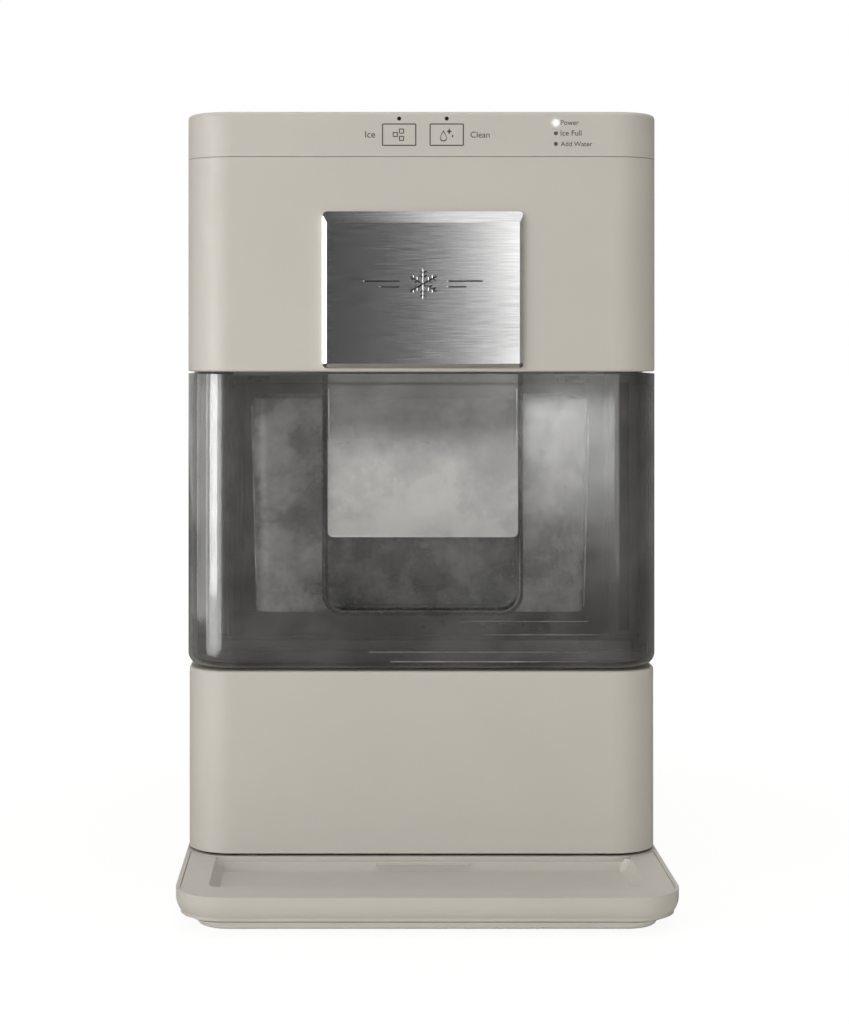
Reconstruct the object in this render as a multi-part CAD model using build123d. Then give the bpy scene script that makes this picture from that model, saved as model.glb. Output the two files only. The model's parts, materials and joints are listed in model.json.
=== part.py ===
from build123d import *
import os
from math import acos, cos, pi, radians, sin, sqrt

# Countertop nugget ice maker. Millimetres, +Z up, the front faces -Y.
# The origin is the bottom centre of the whole object's box, on the surface that it stands on.

# ---- driving dimensions ----------------------------------------------------------------------
WIDTH = 264.0            # body, side to side
BODY_DEPTH = 350.0       # front face to rear panel
TRAY_REACH = 87.0        # how far the drip tray stands out in front of the body
REAR_PROUD = 4.0         # drain cap behind the rear panel
CORNER = 25.5            # radius of the body's upright corners
SKIN = 2.5               # wall of the outer panels
GAP = 0.8                # seam between two outer panels
SEAM_GAP = 0.3           # between the top cover and the panels under it

Z_PLINTH = 0.6           # underside of the bottom plate; the rubber feet reach down to 0
Z_BASE = 4.6             # underside of the base pan
Z_RIM = 20.1             # top of the base pan's rim
Z_BODY = 21.6            # lower edge of the body panels
Z_BIN = 123.6            # underside of the ice bin
Z_UPPER = 289.1          # lower edge of the upper front panel
Z_SEAM = 408.6           # lower edge of the top cover
Z_TOP = 433.6

HALF = WIDTH / 2
Y_TRAY = -(BODY_DEPTH + TRAY_REACH + REAR_PROUD) / 2
Y_FRONT = Y_TRAY + TRAY_REACH
Y_BACK = Y_FRONT + BODY_DEPTH
Y_SEAM = Y_FRONT + 70.0  # upright seam behind the front panels and the bin's front shell
REAR_HALF = 97.5         # rear panel's half width
LOWER_INSET = 0.7        # the lower front panel stands this much inside the others
RIM_WALL = 2.5           # rim around the drip tray
BASE_FLOOR = Z_BASE + SKIN
REAR_SCREWS = [(x, z) for x in (-92, 92) for z in (34, 140, 270, 398)]
FEET = [(x, y) for x in (-98, 98) for y in (Y_TRAY + 36, Y_BACK - 32)]

# Control panel in the top cover, and the steel plate below it
LENS_R = 1.15
KEYS_X = (-13.2, 13.2)
LENSES = [(x, Z_TOP - 4.0) for x in KEYS_X] + [(73.8, Z_TOP - 6.3 - 5.9 * i) for i in range(3)]
PLATE_HALF = 56.0
PLATE_Z = (291.0, 378.0)
PLATE_PROUD = 4.5

# Ice bin
BIN_WALL = 3.0
BIN_TOP = Z_UPPER - 1.2
STEP_Y = Y_FRONT + 56.0  # where the bin's floor steps up
TUB_HALF = 112.0         # rear part of the bin
TUB_BACK = Y_FRONT + 180.0
TUB_UNDER = Z_BIN + 8.0
TUB_TOP = 280.0
RIM_BAND = 6.5           # thicker band around the bin's top edge
BAND_WALL = 4.5
POCKET_HALF = 55.9       # hand pocket, outside of its wall
POCKET_WALL = 3.0
POCKET_LOW = 153.4
POCKET_DEPTH = 35.0
GRIP_LOW = 197.1         # lower edge of the grip panel across the pocket
BASKET_TOP = 273.0       # loose ice basket inside the bin
BASKET_LOW = 150.6
BASKET_HALF = 97.0
BASKET_FRONT = Y_FRONT + 40.0
BASKET_WALL = 2.0
RUNNER_Z = 205.0         # ribs on the tub's sides that ride on the compartment's ledges

# Bin compartment
LINER_HALF = 114.0
LINER_FRONT = Y_SEAM + 1.5
LINER_BACK = TUB_BACK + 4.0
LINER_FLOOR = 130.5
LINER_CEILING = 286.0
FOAM_HALF = HALF - SKIN - 0.7
FOAM_BACK = LINER_BACK + 8.5
FOAM_LOW = 125.0
FOAM_HIGH = 290.0
FILL = (40.0, -20.0, 90.0, 50.0)   # water fill opening: centre x, centre y, width, depth

# Water tank
TANK_HALF = 118.0
TANK_FRONT = Y_FRONT + 7.0
TANK_BACK = 48.0
TANK_LOW = 30.0
TANK_HIGH = 116.0
FLOAT_AT = (-80.0, -45.0)

# Ice engine: the upright evaporator with its auger, driven from below
AXIS = (-45.0, 135.0)
GEAR_TEETH = 56
PINION_TEETH = 14
MODULE = 1.25
CENTRES = MODULE * (GEAR_TEETH + PINION_TEETH) / 2
PINION_AT = (AXIS[0] - CENTRES, AXIS[1])
BOX_LOW = 70.0           # underside of the gearbox
BOX_HIGH = 100.0
BARREL_LOW = 104.0
BARREL_HIGH = 330.0
BARREL_BORE = 18.0
BARREL_R = 22.0
COIL_TUBE = 3.0
COIL_R = BARREL_R + COIL_TUBE + 0.2
COIL_PITCH = 12.0
COIL_TURNS = 15
COIL_LOW = 130.0
JACKET_R = 46.0
HEAD_R = 26.0
HEAD_HIGH = 352.0
CHUTE_HALF = 30.0
BOX_X = (PINION_AT[0] - 21, AXIS[0] + 43)
BOX_Y = (AXIS[1] - 43, AXIS[1] + 43)
SHAFT_R = 5.0            # auger's shaft
ROTOR_R = 3.0            # motor's shaft
RUNNING = 0.05           # radial clearance of the running fits

# Refrigeration
COMP_AT = (72.0, 140.0)
COMP_R = 50.0
COMP_LOW = 24.0
COMP_HIGH = 166.0
COIL_X = 108.0           # plane of the condenser's serpentine
PASSES = 8
PASS_PITCH = 22.5
PASS_LOW = 215.0
CONDENSER_TUBE = 3.5
FINS = 23
FIN_PITCH = 3.9
FINS_Y = 145.0
FAN_AT = (135.0, 295.0)  # y and z of the fan's axis
FAN_X = (60.0, 86.0)
FAN_R = 54.0
DRIER_AT = (30.0, 72.0)
DRIER_Z = (200.0, 268.0)
PIPE_R = 3.0
STUBS = [(50.0, 160.0), (88.0, 118.0)]   # suction, then discharge
COMP_FEET = [(COMP_AT[0] + x, COMP_AT[1] + y) for x in (-38, 38) for y in (-58, 58)]

PUMP_AT = (5.0, 79.0)
HOSE_X = -18.5             # rising water hose
FEED_Z = 38.0
DRAIN_AT = (-30.0, 36.0)   # x and z of the drain line
INLET_AT = (-64.0, 55.0)   # x and z of the power inlet


# ---- helpers ---------------------------------------------------------------------------------
def plan(half_x, y_front, y_back, radius):
    """Rounded outline seen from above, centred on X."""
    return Pos(0, (y_front + y_back) / 2) * RectangleRounded(2 * half_x, y_back - y_front, radius)


def body_plan(inset=0.0):
    """The body's outline, moved in by inset, or out where it is negative."""
    return plan(HALF - inset, Y_FRONT + inset, Y_BACK - inset, CORNER - inset)


def prism(face, z_low, z_high):
    return extrude(Pos(0, 0, z_low) * face, z_high - z_low)


def block(x, y, z):
    """Box from its lowest and highest x, y and z."""
    centre = Pos((x[0] + x[1]) / 2, (y[0] + y[1]) / 2, (z[0] + z[1]) / 2)
    return centre * Box(x[1] - x[0], y[1] - y[0], z[1] - z[0])


def rod(start, end, radius):
    """Round bar from one point to another."""
    start, end = Vector(*start), Vector(*end)
    return extrude(Plane(origin=start, z_dir=end - start) * Circle(radius), (end - start).length)


def post(at, z_low, z_high, radius):
    return rod((at[0], at[1], z_low), (at[0], at[1], z_high), radius)


def ring(at, z_low, z_high, outer, inner):
    return post(at, z_low, z_high, outer) - post(at, z_low - 1, z_high + 1, inner)


def pipe(points, radius, bend, bore=0.0):
    """Bent tube or solid bar along straight runs joined by arcs."""
    path = FilletPolyline(*points, radius=bend) if len(points) > 2 else Polyline(*points)
    start = Plane(origin=path @ 0, z_dir=path % 0)
    whole = sweep(start * Circle(radius), path=path)
    return whole - sweep(start * Circle(bore), path=path) if bore else whole


def soften(solid, z, radius):
    """Rounds every edge that lies at height z."""
    edges = solid.edges().filter_by_position(Axis.Z, z - 0.01, z + 0.01)
    return fillet(edges, radius)


def before(solid, y):
    return solid & block((-300, 300), (-300, y), (-10, 500))


def behind(solid, y):
    return solid & block((-300, 300), (y, 300), (-10, 500))


def row_of(count, pitch):
    """Evenly spaced offsets about zero."""
    return [(i - (count - 1) / 2) * pitch for i in range(count)]


# ---- outer shell -----------------------------------------------------------------------------
def top_cover():
    shell = soften(prism(body_plan(), Z_SEAM, Z_TOP), Z_TOP, 2.5)
    cover = shell - prism(body_plan(SKIN), Z_SEAM - 1, Z_TOP - SKIN)
    for x in (-100, 100):
        for y in (Y_FRONT + 22, Y_BACK - 22):
            cover += ring((x, y), Z_SEAM + 1, Z_TOP - 1, 4.0, 1.4)
    for x, z in LENSES:
        cover -= rod((x, Y_FRONT - 1, z), (x, Y_FRONT + 5, z), LENS_R)
    return cover


def indicator_lenses():
    return Compound([rod((x, Y_FRONT, z), (x, Y_FRONT + 2.6, z), LENS_R) for x, z in LENSES])


def touch_board():
    """Circuit board behind the touch keys, with its sensing pads and light sources."""
    y = Y_FRONT + SKIN + 0.4
    board = block((-92, 92), (y + 0.6, y + 2.2), (Z_SEAM + 3, Z_TOP - 3.4))
    for x in KEYS_X:
        board += block((x - 8, x + 8), (y, y + 0.7), (Z_SEAM + 7, Z_SEAM + 17))
    for x in row_of(5, 14):
        board += block((x - 3, x + 3), (y + 2.1, y + 4), (Z_SEAM + 5, Z_SEAM + 9))
    return board


def upper_front_panel():
    outside = prism(body_plan(), Z_UPPER, Z_SEAM - SEAM_GAP)
    outside = soften(outside, Z_UPPER, 1.2)
    wall = outside - prism(body_plan(SKIN), Z_UPPER + 2, Z_SEAM)
    panel = before(wall, Y_SEAM)
    for x, z in plate_pins():
        panel -= rod((x, Y_FRONT - 1, z), (x, Y_FRONT + 9, z), 2.0)
    return panel


def plate_pins():
    return [(x, z) for x in (-45, 45) for z in (PLATE_Z[0] + 14, PLATE_Z[1] - 14)]


def lower_front_panel():
    top = Z_BIN - 1
    outside = soften(prism(body_plan(LOWER_INSET), Z_BODY, top), top, 1.5)
    wall = outside - prism(body_plan(LOWER_INSET + SKIN), Z_BODY - 1, top - SKIN)
    return before(wall, Y_SEAM)


def side_wall():
    """Left side panel, which wraps the rear corner and ends in a flange behind the rear panel."""
    wall = prism(body_plan(), Z_BODY, Z_SEAM - SEAM_GAP) - prism(body_plan(SKIN), Z_BODY - 1, Z_SEAM)
    wall = behind(wall, Y_SEAM + GAP)
    wall &= block((-HALF - 1, -REAR_HALF - GAP), (-200, 300), (0, 500))
    inner = Y_BACK - SKIN
    wall += block((-HALF + CORNER, -86), (inner - 2, inner), (Z_BODY, Z_SEAM - SEAM_GAP))
    for x, z in REAR_SCREWS[:4]:
        wall += rod((x, inner - 9, z), (x, inner, z), 4.5)
        wall -= rod((x, inner - 12, z), (x, inner + 1, z), 1.5)
    return wall


def louvres(y_centre, z_low, count, length, x):
    """Slots through a side panel, one above the other."""
    slots = []
    for i in range(count):
        at = Plane(origin=(x - 10, y_centre, z_low + 9 * i), x_dir=(0, 1, 0), z_dir=(1, 0, 0))
        slots.append(extrude(at * SlotOverall(length, 3.6), 20))
    return slots


def left_side_panel():
    return side_wall() - louvres(125, 60, 9, 90, -HALF)


def right_side_panel():
    return mirror(side_wall(), about=Plane.YZ) - louvres(135, 218, 18, 100, HALF)


def rear_panel():
    panel = block((-REAR_HALF, REAR_HALF), (Y_BACK - SKIN, Y_BACK), (Z_BODY, Z_SEAM - SEAM_GAP))
    slots = []
    for x, z_low, rows, length in ((35, 210, 19, 90), (58, 66, 10, 60), (-45, 300, 9, 44)):
        for i in range(rows):
            at = Plane(origin=(x, Y_BACK - 10, z_low + 9 * i), x_dir=(1, 0, 0), z_dir=(0, 1, 0))
            slots.append(extrude(at * SlotOverall(length, 3.6), 20))
    panel -= slots
    panel -= rod((DRAIN_AT[0], Y_BACK - 9, DRAIN_AT[1]), (DRAIN_AT[0], Y_BACK + 9, DRAIN_AT[1]), 9.2)
    x, z = INLET_AT
    panel -= block((x - 14.2, x + 14.2), (Y_BACK - 9, Y_BACK + 9), (z - 10.2, z + 10.2))
    for x, z in REAR_SCREWS:
        panel -= rod((x, Y_BACK - 9, z), (x, Y_BACK + 9, z), 1.7)
    return panel


def rear_screws():
    """Pan-head screws that hold the rear panel."""
    screws = []
    for x, z in REAR_SCREWS:
        head = rod((x, Y_BACK, z), (x, Y_BACK + 1.8, z), 3.2)
        head -= rod((x, Y_BACK + 0.9, z), (x, Y_BACK + 3, z), 1.0)
        screws.append(head + rod((x, Y_BACK - 10, z), (x, Y_BACK, z), 1.5))
    return Compound(screws)


def badge_plate():
    """Brushed steel cover plate on the upper front panel, with a deep bevel along its top."""
    low, high = PLATE_Z
    front_y = Y_FRONT - PLATE_PROUD
    plate = block((-PLATE_HALF, PLATE_HALF), (front_y, Y_FRONT), (low, high))
    plate = fillet(plate.edges().filter_by(Axis.Y), 3.0)
    plate = chamfer(plate.faces().sort_by(Axis.Y)[0].edges(), 2.6)
    # The top bevel runs further down the face than the others.
    lip_y = Y_FRONT - 1.4
    slope = Plane.YZ * make_face(Polyline(
        (front_y - 1, high - 6.4), (front_y, high - 6.4), (lip_y, high),
        (lip_y, high + 2), (front_y - 1, high + 2), close=True))
    plate -= extrude(slope, HALF, both=True)
    for x, z in plate_pins():
        plate += rod((x, Y_FRONT - 1, z), (x, Y_FRONT + 6, z), 1.8)
    return plate


# ---- base ------------------------------------------------------------------------------------
def base_plan(inset=0.0):
    return plan(HALF - inset, Y_TRAY + inset, Y_BACK - inset, CORNER - inset)


def tray_plan(inset):
    """Outline of the drip tray: the rim's inside, less the body's front."""
    whole = plan(HALF - RIM_WALL - inset, Y_TRAY + RIM_WALL + inset, Y_FRONT + 60, CORNER - RIM_WALL)
    ahead = Pos(0, -200) * Rectangle(400, 2 * (200 + Y_FRONT + 12))
    return (whole & ahead) - body_plan(-0.6 - inset)


def base_pan():
    """Base moulding: the chassis floor and, ahead of the body, the well that holds the drip tray."""
    pan = soften(prism(base_plan(), Z_BASE, Z_RIM), Z_BASE, 11.0)
    pan -= prism(tray_plan(-0.3), BASE_FLOOR, Z_RIM + 1)
    rear_well = prism(body_plan(4.0), BASE_FLOOR, Z_RIM + 1)
    pan -= soften(rear_well, BASE_FLOOR, 8.0)
    # Stools for the water tank
    for x in (-95, 95):
        for y in (-95, 25):
            pan += ring((x, y), BASE_FLOOR - 1, TANK_LOW, 9, 6)
    for x, y in COMP_FEET:
        pan += ring((x, y), BASE_FLOOR - 1, 12, 9, 2.2)
    for x, y in FEET:
        pan -= post((x, y), 0, BASE_FLOOR - 0.9, 1.6)
    return pan


def bottom_plate():
    """Plinth under the base pan, with a pocket for each rubber foot."""
    plate = soften(prism(plan(HALF - 11, Y_TRAY + 11, Y_BACK - 11, CORNER - 8), Z_PLINTH, Z_BASE),
                   Z_PLINTH, 2.0)
    for at in FEET:
        plate -= post(at, 0, Z_PLINTH + 2, 11.2)
    return plate


def rubber_feet():
    feet = []
    for at in FEET:
        pad = post(at, 0, Z_PLINTH + 2, 11)
        feet.append(fillet(pad.edges().group_by(Axis.Z)[0], 0.8))
    return Compound(feet)


def drip_tray():
    """Lift-out drip tray: a plate with a shallow pan, hollow underneath."""
    top, under, floor = Z_RIM - 0.4, BASE_FLOOR + 0.2, 12.6
    front, back = Y_FRONT - 64.0, Y_FRONT - 2.8
    half, slope = 115.0, 4.6
    middle = (front + back) / 2
    tray = prism(tray_plan(0.0), under, top)
    mouth = Pos(0, middle, top) * RectangleRounded(2 * half, back - front, 6)
    sole = Pos(0, middle + slope / 2 - 0.5, floor) * RectangleRounded(
        2 * (half - slope), back - front - slope - 1, 3)
    tray -= loft([sole, mouth])
    tray -= prism(tray_plan(2.0), under - 1, floor - 2)
    pan = Pos(0, middle) * RectangleRounded(2 * half + 4, back - front + 4, 8)
    tray -= prism(tray_plan(2.0) - pan, under - 1, top - 2)
    # The rear wall is lower than the rim.
    tray -= block((-half, half), (back - 0.5, Y_FRONT + 1), (top - 1.8, top + 1))
    # Finger lip on the pan's rear wall
    lip = block((-26, 26), (back - 1.9, back + 0.5), (16.2, 17.3))
    return tray + fillet(lip.edges().filter_by(Axis.Z).sort_by(Axis.Y)[:2], 0.9)


# ---- ice bin ---------------------------------------------------------------------------------
def pocket_face(half, low, radius, high):
    """Upright U outline of the hand pocket, seen from the front."""
    middle = (low + high + 20) / 2
    tall = high + 20 - low
    outline = Plane(origin=(0, Y_FRONT, middle), x_dir=(1, 0, 0), z_dir=(0, 1, 0))
    return outline * RectangleRounded(2 * half, tall, radius)


def bin_tub():
    """Smoked drawer: a wide front shell, a narrower tub behind it and a hand pocket in front."""
    shell = before(soften(prism(body_plan(), Z_BIN, BIN_TOP), Z_BIN, 7.0), Y_SEAM)
    tub = prism(plan(TUB_HALF, Y_SEAM - 20, TUB_BACK, 12), TUB_UNDER, TUB_TOP)
    tub = behind(soften(tub, TUB_UNDER, 5.0), Y_SEAM - 1)
    floor, tub_floor, band = Z_BIN + BIN_WALL, TUB_UNDER + BIN_WALL, BIN_TOP - RIM_BAND
    shoulder = Y_SEAM - BIN_WALL
    hollow = before(soften(prism(body_plan(BIN_WALL), floor, band), floor, 5.0), STEP_Y)
    hollow += before(prism(body_plan(BIN_WALL), tub_floor, band), shoulder)
    hollow += before(prism(body_plan(BAND_WALL), band, BIN_TOP + 1), shoulder)
    inside = plan(TUB_HALF - BIN_WALL, STEP_Y - 10, TUB_BACK - BIN_WALL, 9)
    part = shell + tub - hollow - behind(prism(inside, tub_floor, BIN_TOP + 1), STEP_Y)
    part -= block((-125, 125), (STEP_Y + BIN_WALL, Y_SEAM + 1), (Z_BIN - 1, TUB_UNDER))
    # Hand pocket
    outer = extrude(pocket_face(POCKET_HALF, POCKET_LOW, 12, BIN_TOP), POCKET_DEPTH + BIN_WALL)
    part += outer & block((-HALF, HALF), (Y_FRONT, 0), (100, BIN_TOP))
    inner = pocket_face(POCKET_HALF - POCKET_WALL, POCKET_LOW + 2.5, 9, BIN_TOP)
    part -= extrude(inner, POCKET_DEPTH)
    # Melt-water slots in the floor, over the fill opening
    for x in row_of(7, 12):
        part -= block((x + 38.5, x + 41.5), (-40, 0), (TUB_UNDER - 1, tub_floor + 1))
    # Runners
    for side in (-1, 1):
        x = sorted((side * (TUB_HALF - 1), side * (TUB_HALF + 1.5)))
        part += block(x, (Y_SEAM + 8, TUB_BACK - 14), (RUNNER_Z, RUNNER_Z + 6))
    return part


def basket_box(inset, z_low, z_high):
    """The basket's tapered outline as a solid."""
    back = TUB_BACK - BIN_WALL - 1.5
    half = BASKET_HALF - inset
    draft = 3.0
    mouth = plan(half, BASKET_FRONT + inset, back - inset, 10 - inset)
    sole = plan(half - draft, BASKET_FRONT + inset + 1, back - inset - 1, 10 - inset)
    return loft([Pos(0, 0, z_low) * sole, Pos(0, 0, z_high) * mouth])


def ice_basket():
    """Loose basket that holds the ice above the melt water, on four legs."""
    basket = basket_box(0, BASKET_LOW, BASKET_TOP)
    basket -= basket_box(BASKET_WALL, BASKET_LOW + BASKET_WALL, BASKET_TOP + 0.1)
    for x in row_of(9, 18):
        for y in (-70, -50, -30, -10, 10, 30):
            basket -= post((x, y), BASKET_LOW - 1, BASKET_LOW + BASKET_WALL + 1, 3)
    for x in (-81, 81):
        for y in (-80, 28):
            basket += post((x, y), TUB_UNDER + BIN_WALL, BASKET_LOW + 0.5, 5)
    return basket


def bin_grip_panel():
    """Clear panel across the upper pocket: fingers go in below it and pull on its back."""
    half = POCKET_HALF - POCKET_WALL
    y = Y_FRONT + 1.6
    panel = block((-half, half), (y, y + 3), (GRIP_LOW, BIN_TOP))
    panel = fillet(panel.edges().filter_by(Axis.Y).group_by(Axis.Z)[0], 3.0)
    roof = BIN_TOP - RIM_BAND
    return panel + block((-half, half), (y, Y_FRONT + POCKET_DEPTH), (roof, roof + 2))


def bin_seal():
    """Soft seal strips on the shoulder behind the bin's front shell, one each side."""
    y = (Y_SEAM, Y_SEAM + 1.2)
    return Compound([block(sorted((side * 118, side * 124)), y, (136, 282)) for side in (-1, 1)])


# ---- bin compartment -------------------------------------------------------------------------
def fill_hole(grow, z_low, z_high):
    x, y, wide, deep = FILL
    outline = RectangleRounded(wide + 2 * grow, deep + 2 * grow, 8 + grow)
    return prism(Pos(x, y) * outline, z_low, z_high)


def chute_hole(grow, z_low, z_high):
    x = AXIS[0]
    return block((x - 28 - grow, x + 28 + grow), (6 - grow, 38 + grow), (z_low, z_high))


def bin_liner():
    """Moulded compartment that the bin slides into, with a flange at its mouth."""
    wall = SKIN
    box = block((-LINER_HALF - wall, LINER_HALF + wall), (LINER_FRONT, LINER_BACK + wall),
                (LINER_FLOOR - wall, LINER_CEILING + wall))
    y = (LINER_FRONT, LINER_FRONT + wall)
    flange = block((-FOAM_HALF, FOAM_HALF), y, (FOAM_LOW, FOAM_HIGH - 1))
    inside = block((-LINER_HALF, LINER_HALF), (LINER_FRONT - 1, LINER_BACK),
                   (LINER_FLOOR, LINER_CEILING))
    liner = box + flange - inside
    liner -= fill_hole(0, LINER_FLOOR - 9, LINER_FLOOR + 9)
    liner -= chute_hole(0, LINER_CEILING - 9, LINER_CEILING + 9)
    for side in (-1, 1):
        x = sorted((side * (TUB_HALF + 0.4), side * (LINER_HALF + 1)))
        liner += block(x, (LINER_FRONT, LINER_BACK + 1), (RUNNER_Z - 5, RUNNER_Z - 0.3))
    return liner


def liner_insulation():
    """Foam around the bin compartment."""
    foam = block((-FOAM_HALF, FOAM_HALF), (LINER_FRONT + SKIN + 0.2, FOAM_BACK), (FOAM_LOW, FOAM_HIGH))
    foam -= block((-LINER_HALF - 2.7, LINER_HALF + 2.7), (-200, LINER_BACK + 2.7),
                  (LINER_FLOOR - 2.7, LINER_CEILING + 2.7))
    foam -= fill_hole(4.5, FOAM_LOW - 9, LINER_FLOOR)
    return foam - chute_hole(4.5, LINER_CEILING, FOAM_HIGH + 9)


def ice_chute():
    """Duct that takes the ice from the extruder head down into the bin."""
    deck = HEAD_HIGH - 2
    outline = make_face(Polyline(
        (164, deck), (164, 387), (96, 387), (4, 322), (4, 289), (40, 289), (40, 302), (104, deck),
        close=True))
    inside = offset(outline, amount=-2.0, kind=Kind.INTERSECTION)
    side = Plane(origin=(AXIS[0], 0, 0), x_dir=(0, 1, 0), z_dir=(1, 0, 0))
    duct = extrude(side * outline, CHUTE_HALF, both=True)
    duct -= extrude(side * inside, CHUTE_HALF - 2, both=True)
    duct -= chute_hole(0, 280, 300)
    return duct - post(AXIS, HEAD_HIGH - 12, HEAD_HIGH + 9, HEAD_R + 0.5)


def ice_level_sensors():
    """Infra-red pair under the compartment's ceiling that sees when the bin is full."""
    eyes = []
    for x in (-98, 98):
        body = block((x - 7, x + 7), (24, 36), (LINER_CEILING - 4, LINER_CEILING))
        eyes.append(body + post((x, 30), LINER_CEILING - 5, LINER_CEILING - 1, 2.2))
    return Compound(eyes)


# ---- water system ----------------------------------------------------------------------------
def reservoir():
    tank = prism(plan(TANK_HALF, TANK_FRONT, TANK_BACK, 14), TANK_LOW, TANK_HIGH)
    tank = soften(tank, TANK_LOW, 5.0)
    inside = plan(TANK_HALF - SKIN, TANK_FRONT + SKIN, TANK_BACK - SKIN, 11.5)
    tank -= prism(inside, TANK_LOW + SKIN, TANK_HIGH + 1)
    for x, z in ((PUMP_AT[0], FEED_Z), DRAIN_AT):
        tank += rod((x, TANK_BACK - 1, z), (x, TANK_BACK + 7, z), 4.0)
        tank -= rod((x, TANK_BACK - 9, z), (x, TANK_BACK + 9, z), 2.8)
    return tank


def reservoir_lid():
    """Lid with a collar that reaches up to the compartment's fill opening."""
    high = TANK_HIGH + SKIN
    lid = prism(plan(TANK_HALF, TANK_FRONT, TANK_BACK, 14), TANK_HIGH, high)
    lid += fill_hole(2.5, TANK_HIGH, 126.2)
    lid -= fill_hole(0, TANK_HIGH - 1, LINER_FLOOR)
    return lid - post(FLOAT_AT, TANK_HIGH - 1, high + 1, 3.0)


def fill_strainer():
    """Basket strainer that hangs by its flange in the fill opening."""
    low, flange = TANK_HIGH - 14, 126.3
    basket = fill_hole(-0.3, low, flange + 1.2) + fill_hole(2.0, flange, flange + 1.2)
    basket -= fill_hole(-1.9, low + 1.6, flange + 2)
    x, y, wide, deep = FILL
    for step_x in row_of(10, 8):
        for step_y in row_of(5, 8):
            basket -= post((x + step_x, y + step_y), low - 1, low + 2, 2.0)
    return basket


def float_stem():
    """Guide for the float, hung from the lid."""
    head = TANK_HIGH + SKIN + 0.1
    return post(FLOAT_AT, 40, head, 2.9) + post(FLOAT_AT, head, head + 3.4, 6) + post(FLOAT_AT, 38, 40, 5)


def level_float():
    """Ring float that rides up and down the stem with the water."""
    body = ring(FLOAT_AT, 62, 80, 13, 3.3)
    return fillet(body.edges().filter_by(GeomType.CIRCLE).sort_by(SortBy.RADIUS)[-2:], 2.0)


def pump_body():
    """Small centrifugal pump: motor can above, volute and upright outlet below."""
    x, y = PUMP_AT
    can = ring(PUMP_AT, 12, 32, 18, 15.5) + post(PUMP_AT, 32, 52, 16) + post(PUMP_AT, 10, 12.5, 18)
    can += post(PUMP_AT, 12, 33, 1.2)
    can += rod((x, y - 23, FEED_Z), (x, y - 15, FEED_Z), 4.0)
    can += post((HOSE_X, y), 12, 24, 6) + block((HOSE_X, x - 16), (y - 6, y + 6), (12, 24))
    can += post((HOSE_X, y), 24, 34, 3.0)
    for side in (-1, 1):
        ends = sorted((y + side * 14, y + side * 26))
        can += block((x - 3, x + 3), ends, (BASE_FLOOR + 0.1, 11))
    return can


def pump_impeller():
    x, y = PUMP_AT
    wheel = post(PUMP_AT, 14, 16.5, 14.5) + post(PUMP_AT, 14, 30, 4.5)
    for i in range(6):
        wheel += Pos(x, y, 20.2) * Rot(0, 0, 60 * i) * Pos(9, 0, 0) * Box(11, 1.6, 8.4)
    return wheel - post(PUMP_AT, 10, 33, 1.2 + RUNNING)


def hose_run(start, end):
    """Straight silicone hose."""
    start, end = Vector(*start), Vector(*end)
    return rod(start, end, 6.0) - rod(start - (end - start) * 0.1, end + (end - start) * 0.1, 4.1)


def water_hoses():
    """Feed hose, rising hose and drain hose."""
    x, y = PUMP_AT
    feed = hose_run((x, TANK_BACK + 0.3, FEED_Z), (x, y - 16.3, FEED_Z))
    drain_x, drain_z = DRAIN_AT
    drain = hose_run((drain_x, TANK_BACK + 0.3, drain_z), (drain_x, Y_BACK - 22, drain_z))
    port_z = 117
    riser = pipe([(HOSE_X, y, 24.5), (HOSE_X, y, port_z), (AXIS[0], y, port_z),
                  (AXIS[0], AXIS[1] - 24, port_z)], 4.5, 12, bore=4.1)
    return Compound([feed, riser, drain])


def drain_spigot():
    """Threaded drain outlet in the rear panel."""
    x, z = DRAIN_AT
    neck = rod((x, Y_BACK - 30, z), (x, Y_BACK - 12, z), 4.0)
    neck += rod((x, Y_BACK - 12, z), (x, Y_BACK - 0.5, z), 9.0)
    neck += rod((x, Y_BACK - 5.5, z), (x, Y_BACK - SKIN, z), 13)
    neck -= rod((x, Y_BACK - 40, z), (x, Y_BACK, z), 2.8)
    return neck - rod((x, Y_BACK - 9, z), (x, Y_BACK + 1, z), 6.3)


def drain_cap():
    """Plug with a finger bar that closes the drain."""
    x, z = DRAIN_AT
    cap = rod((x, Y_BACK - 8, z), (x, Y_BACK + 0.4, z), 6.0)
    cap += rod((x, Y_BACK + 0.3, z), (x, Y_BACK + 2.0, z), 11.0)
    return cap + block((x - 9, x + 9), (Y_BACK + 1.5, Y_BACK + REAR_PROUD), (z - 1.6, z + 1.6))


# ---- ice engine ------------------------------------------------------------------------------
def toothed_wheel(teeth, turn):
    """Flat-sided involute gear outline with stub teeth and a little backlash."""
    pitch_r = MODULE * teeth / 2
    base_r = pitch_r * cos(radians(20))
    tip_r, root_r = pitch_r + 0.8 * MODULE, pitch_r - 1.1 * MODULE
    backlash = 0.35

    def roll(r):
        return sqrt(max((r / base_r) ** 2 - 1, 0)) - acos(min(base_r / r, 1))

    half = pi / (2 * teeth) - backlash / (2 * pitch_r) + roll(pitch_r)
    low = max(base_r, root_r)
    radii = [low + (tip_r - low) * i / 3 for i in range(4)]
    flank = [(root_r, half)] + [(r, half - roll(r)) for r in radii]
    points = []
    for i in range(teeth):
        middle = 2 * pi * i / teeth + radians(turn)
        points += [(r, middle - a) for r, a in flank] + [(r, middle + a) for r, a in reversed(flank)]
    return make_face(Polyline(*[(r * cos(a), r * sin(a)) for r, a in points], close=True))


def output_gear():
    """Large gear on the auger's shaft."""
    wheel = prism(Pos(*AXIS) * toothed_wheel(GEAR_TEETH, 0), 80, 90)
    wheel += post(AXIS, 78, 94, 12)
    wheel -= post(AXIS, 70, 100, SHAFT_R)
    for i in range(6):
        a = pi * i / 3
        wheel -= post((AXIS[0] + 22 * cos(a), AXIS[1] + 22 * sin(a)), 70, 100, 6)
    return wheel


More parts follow.
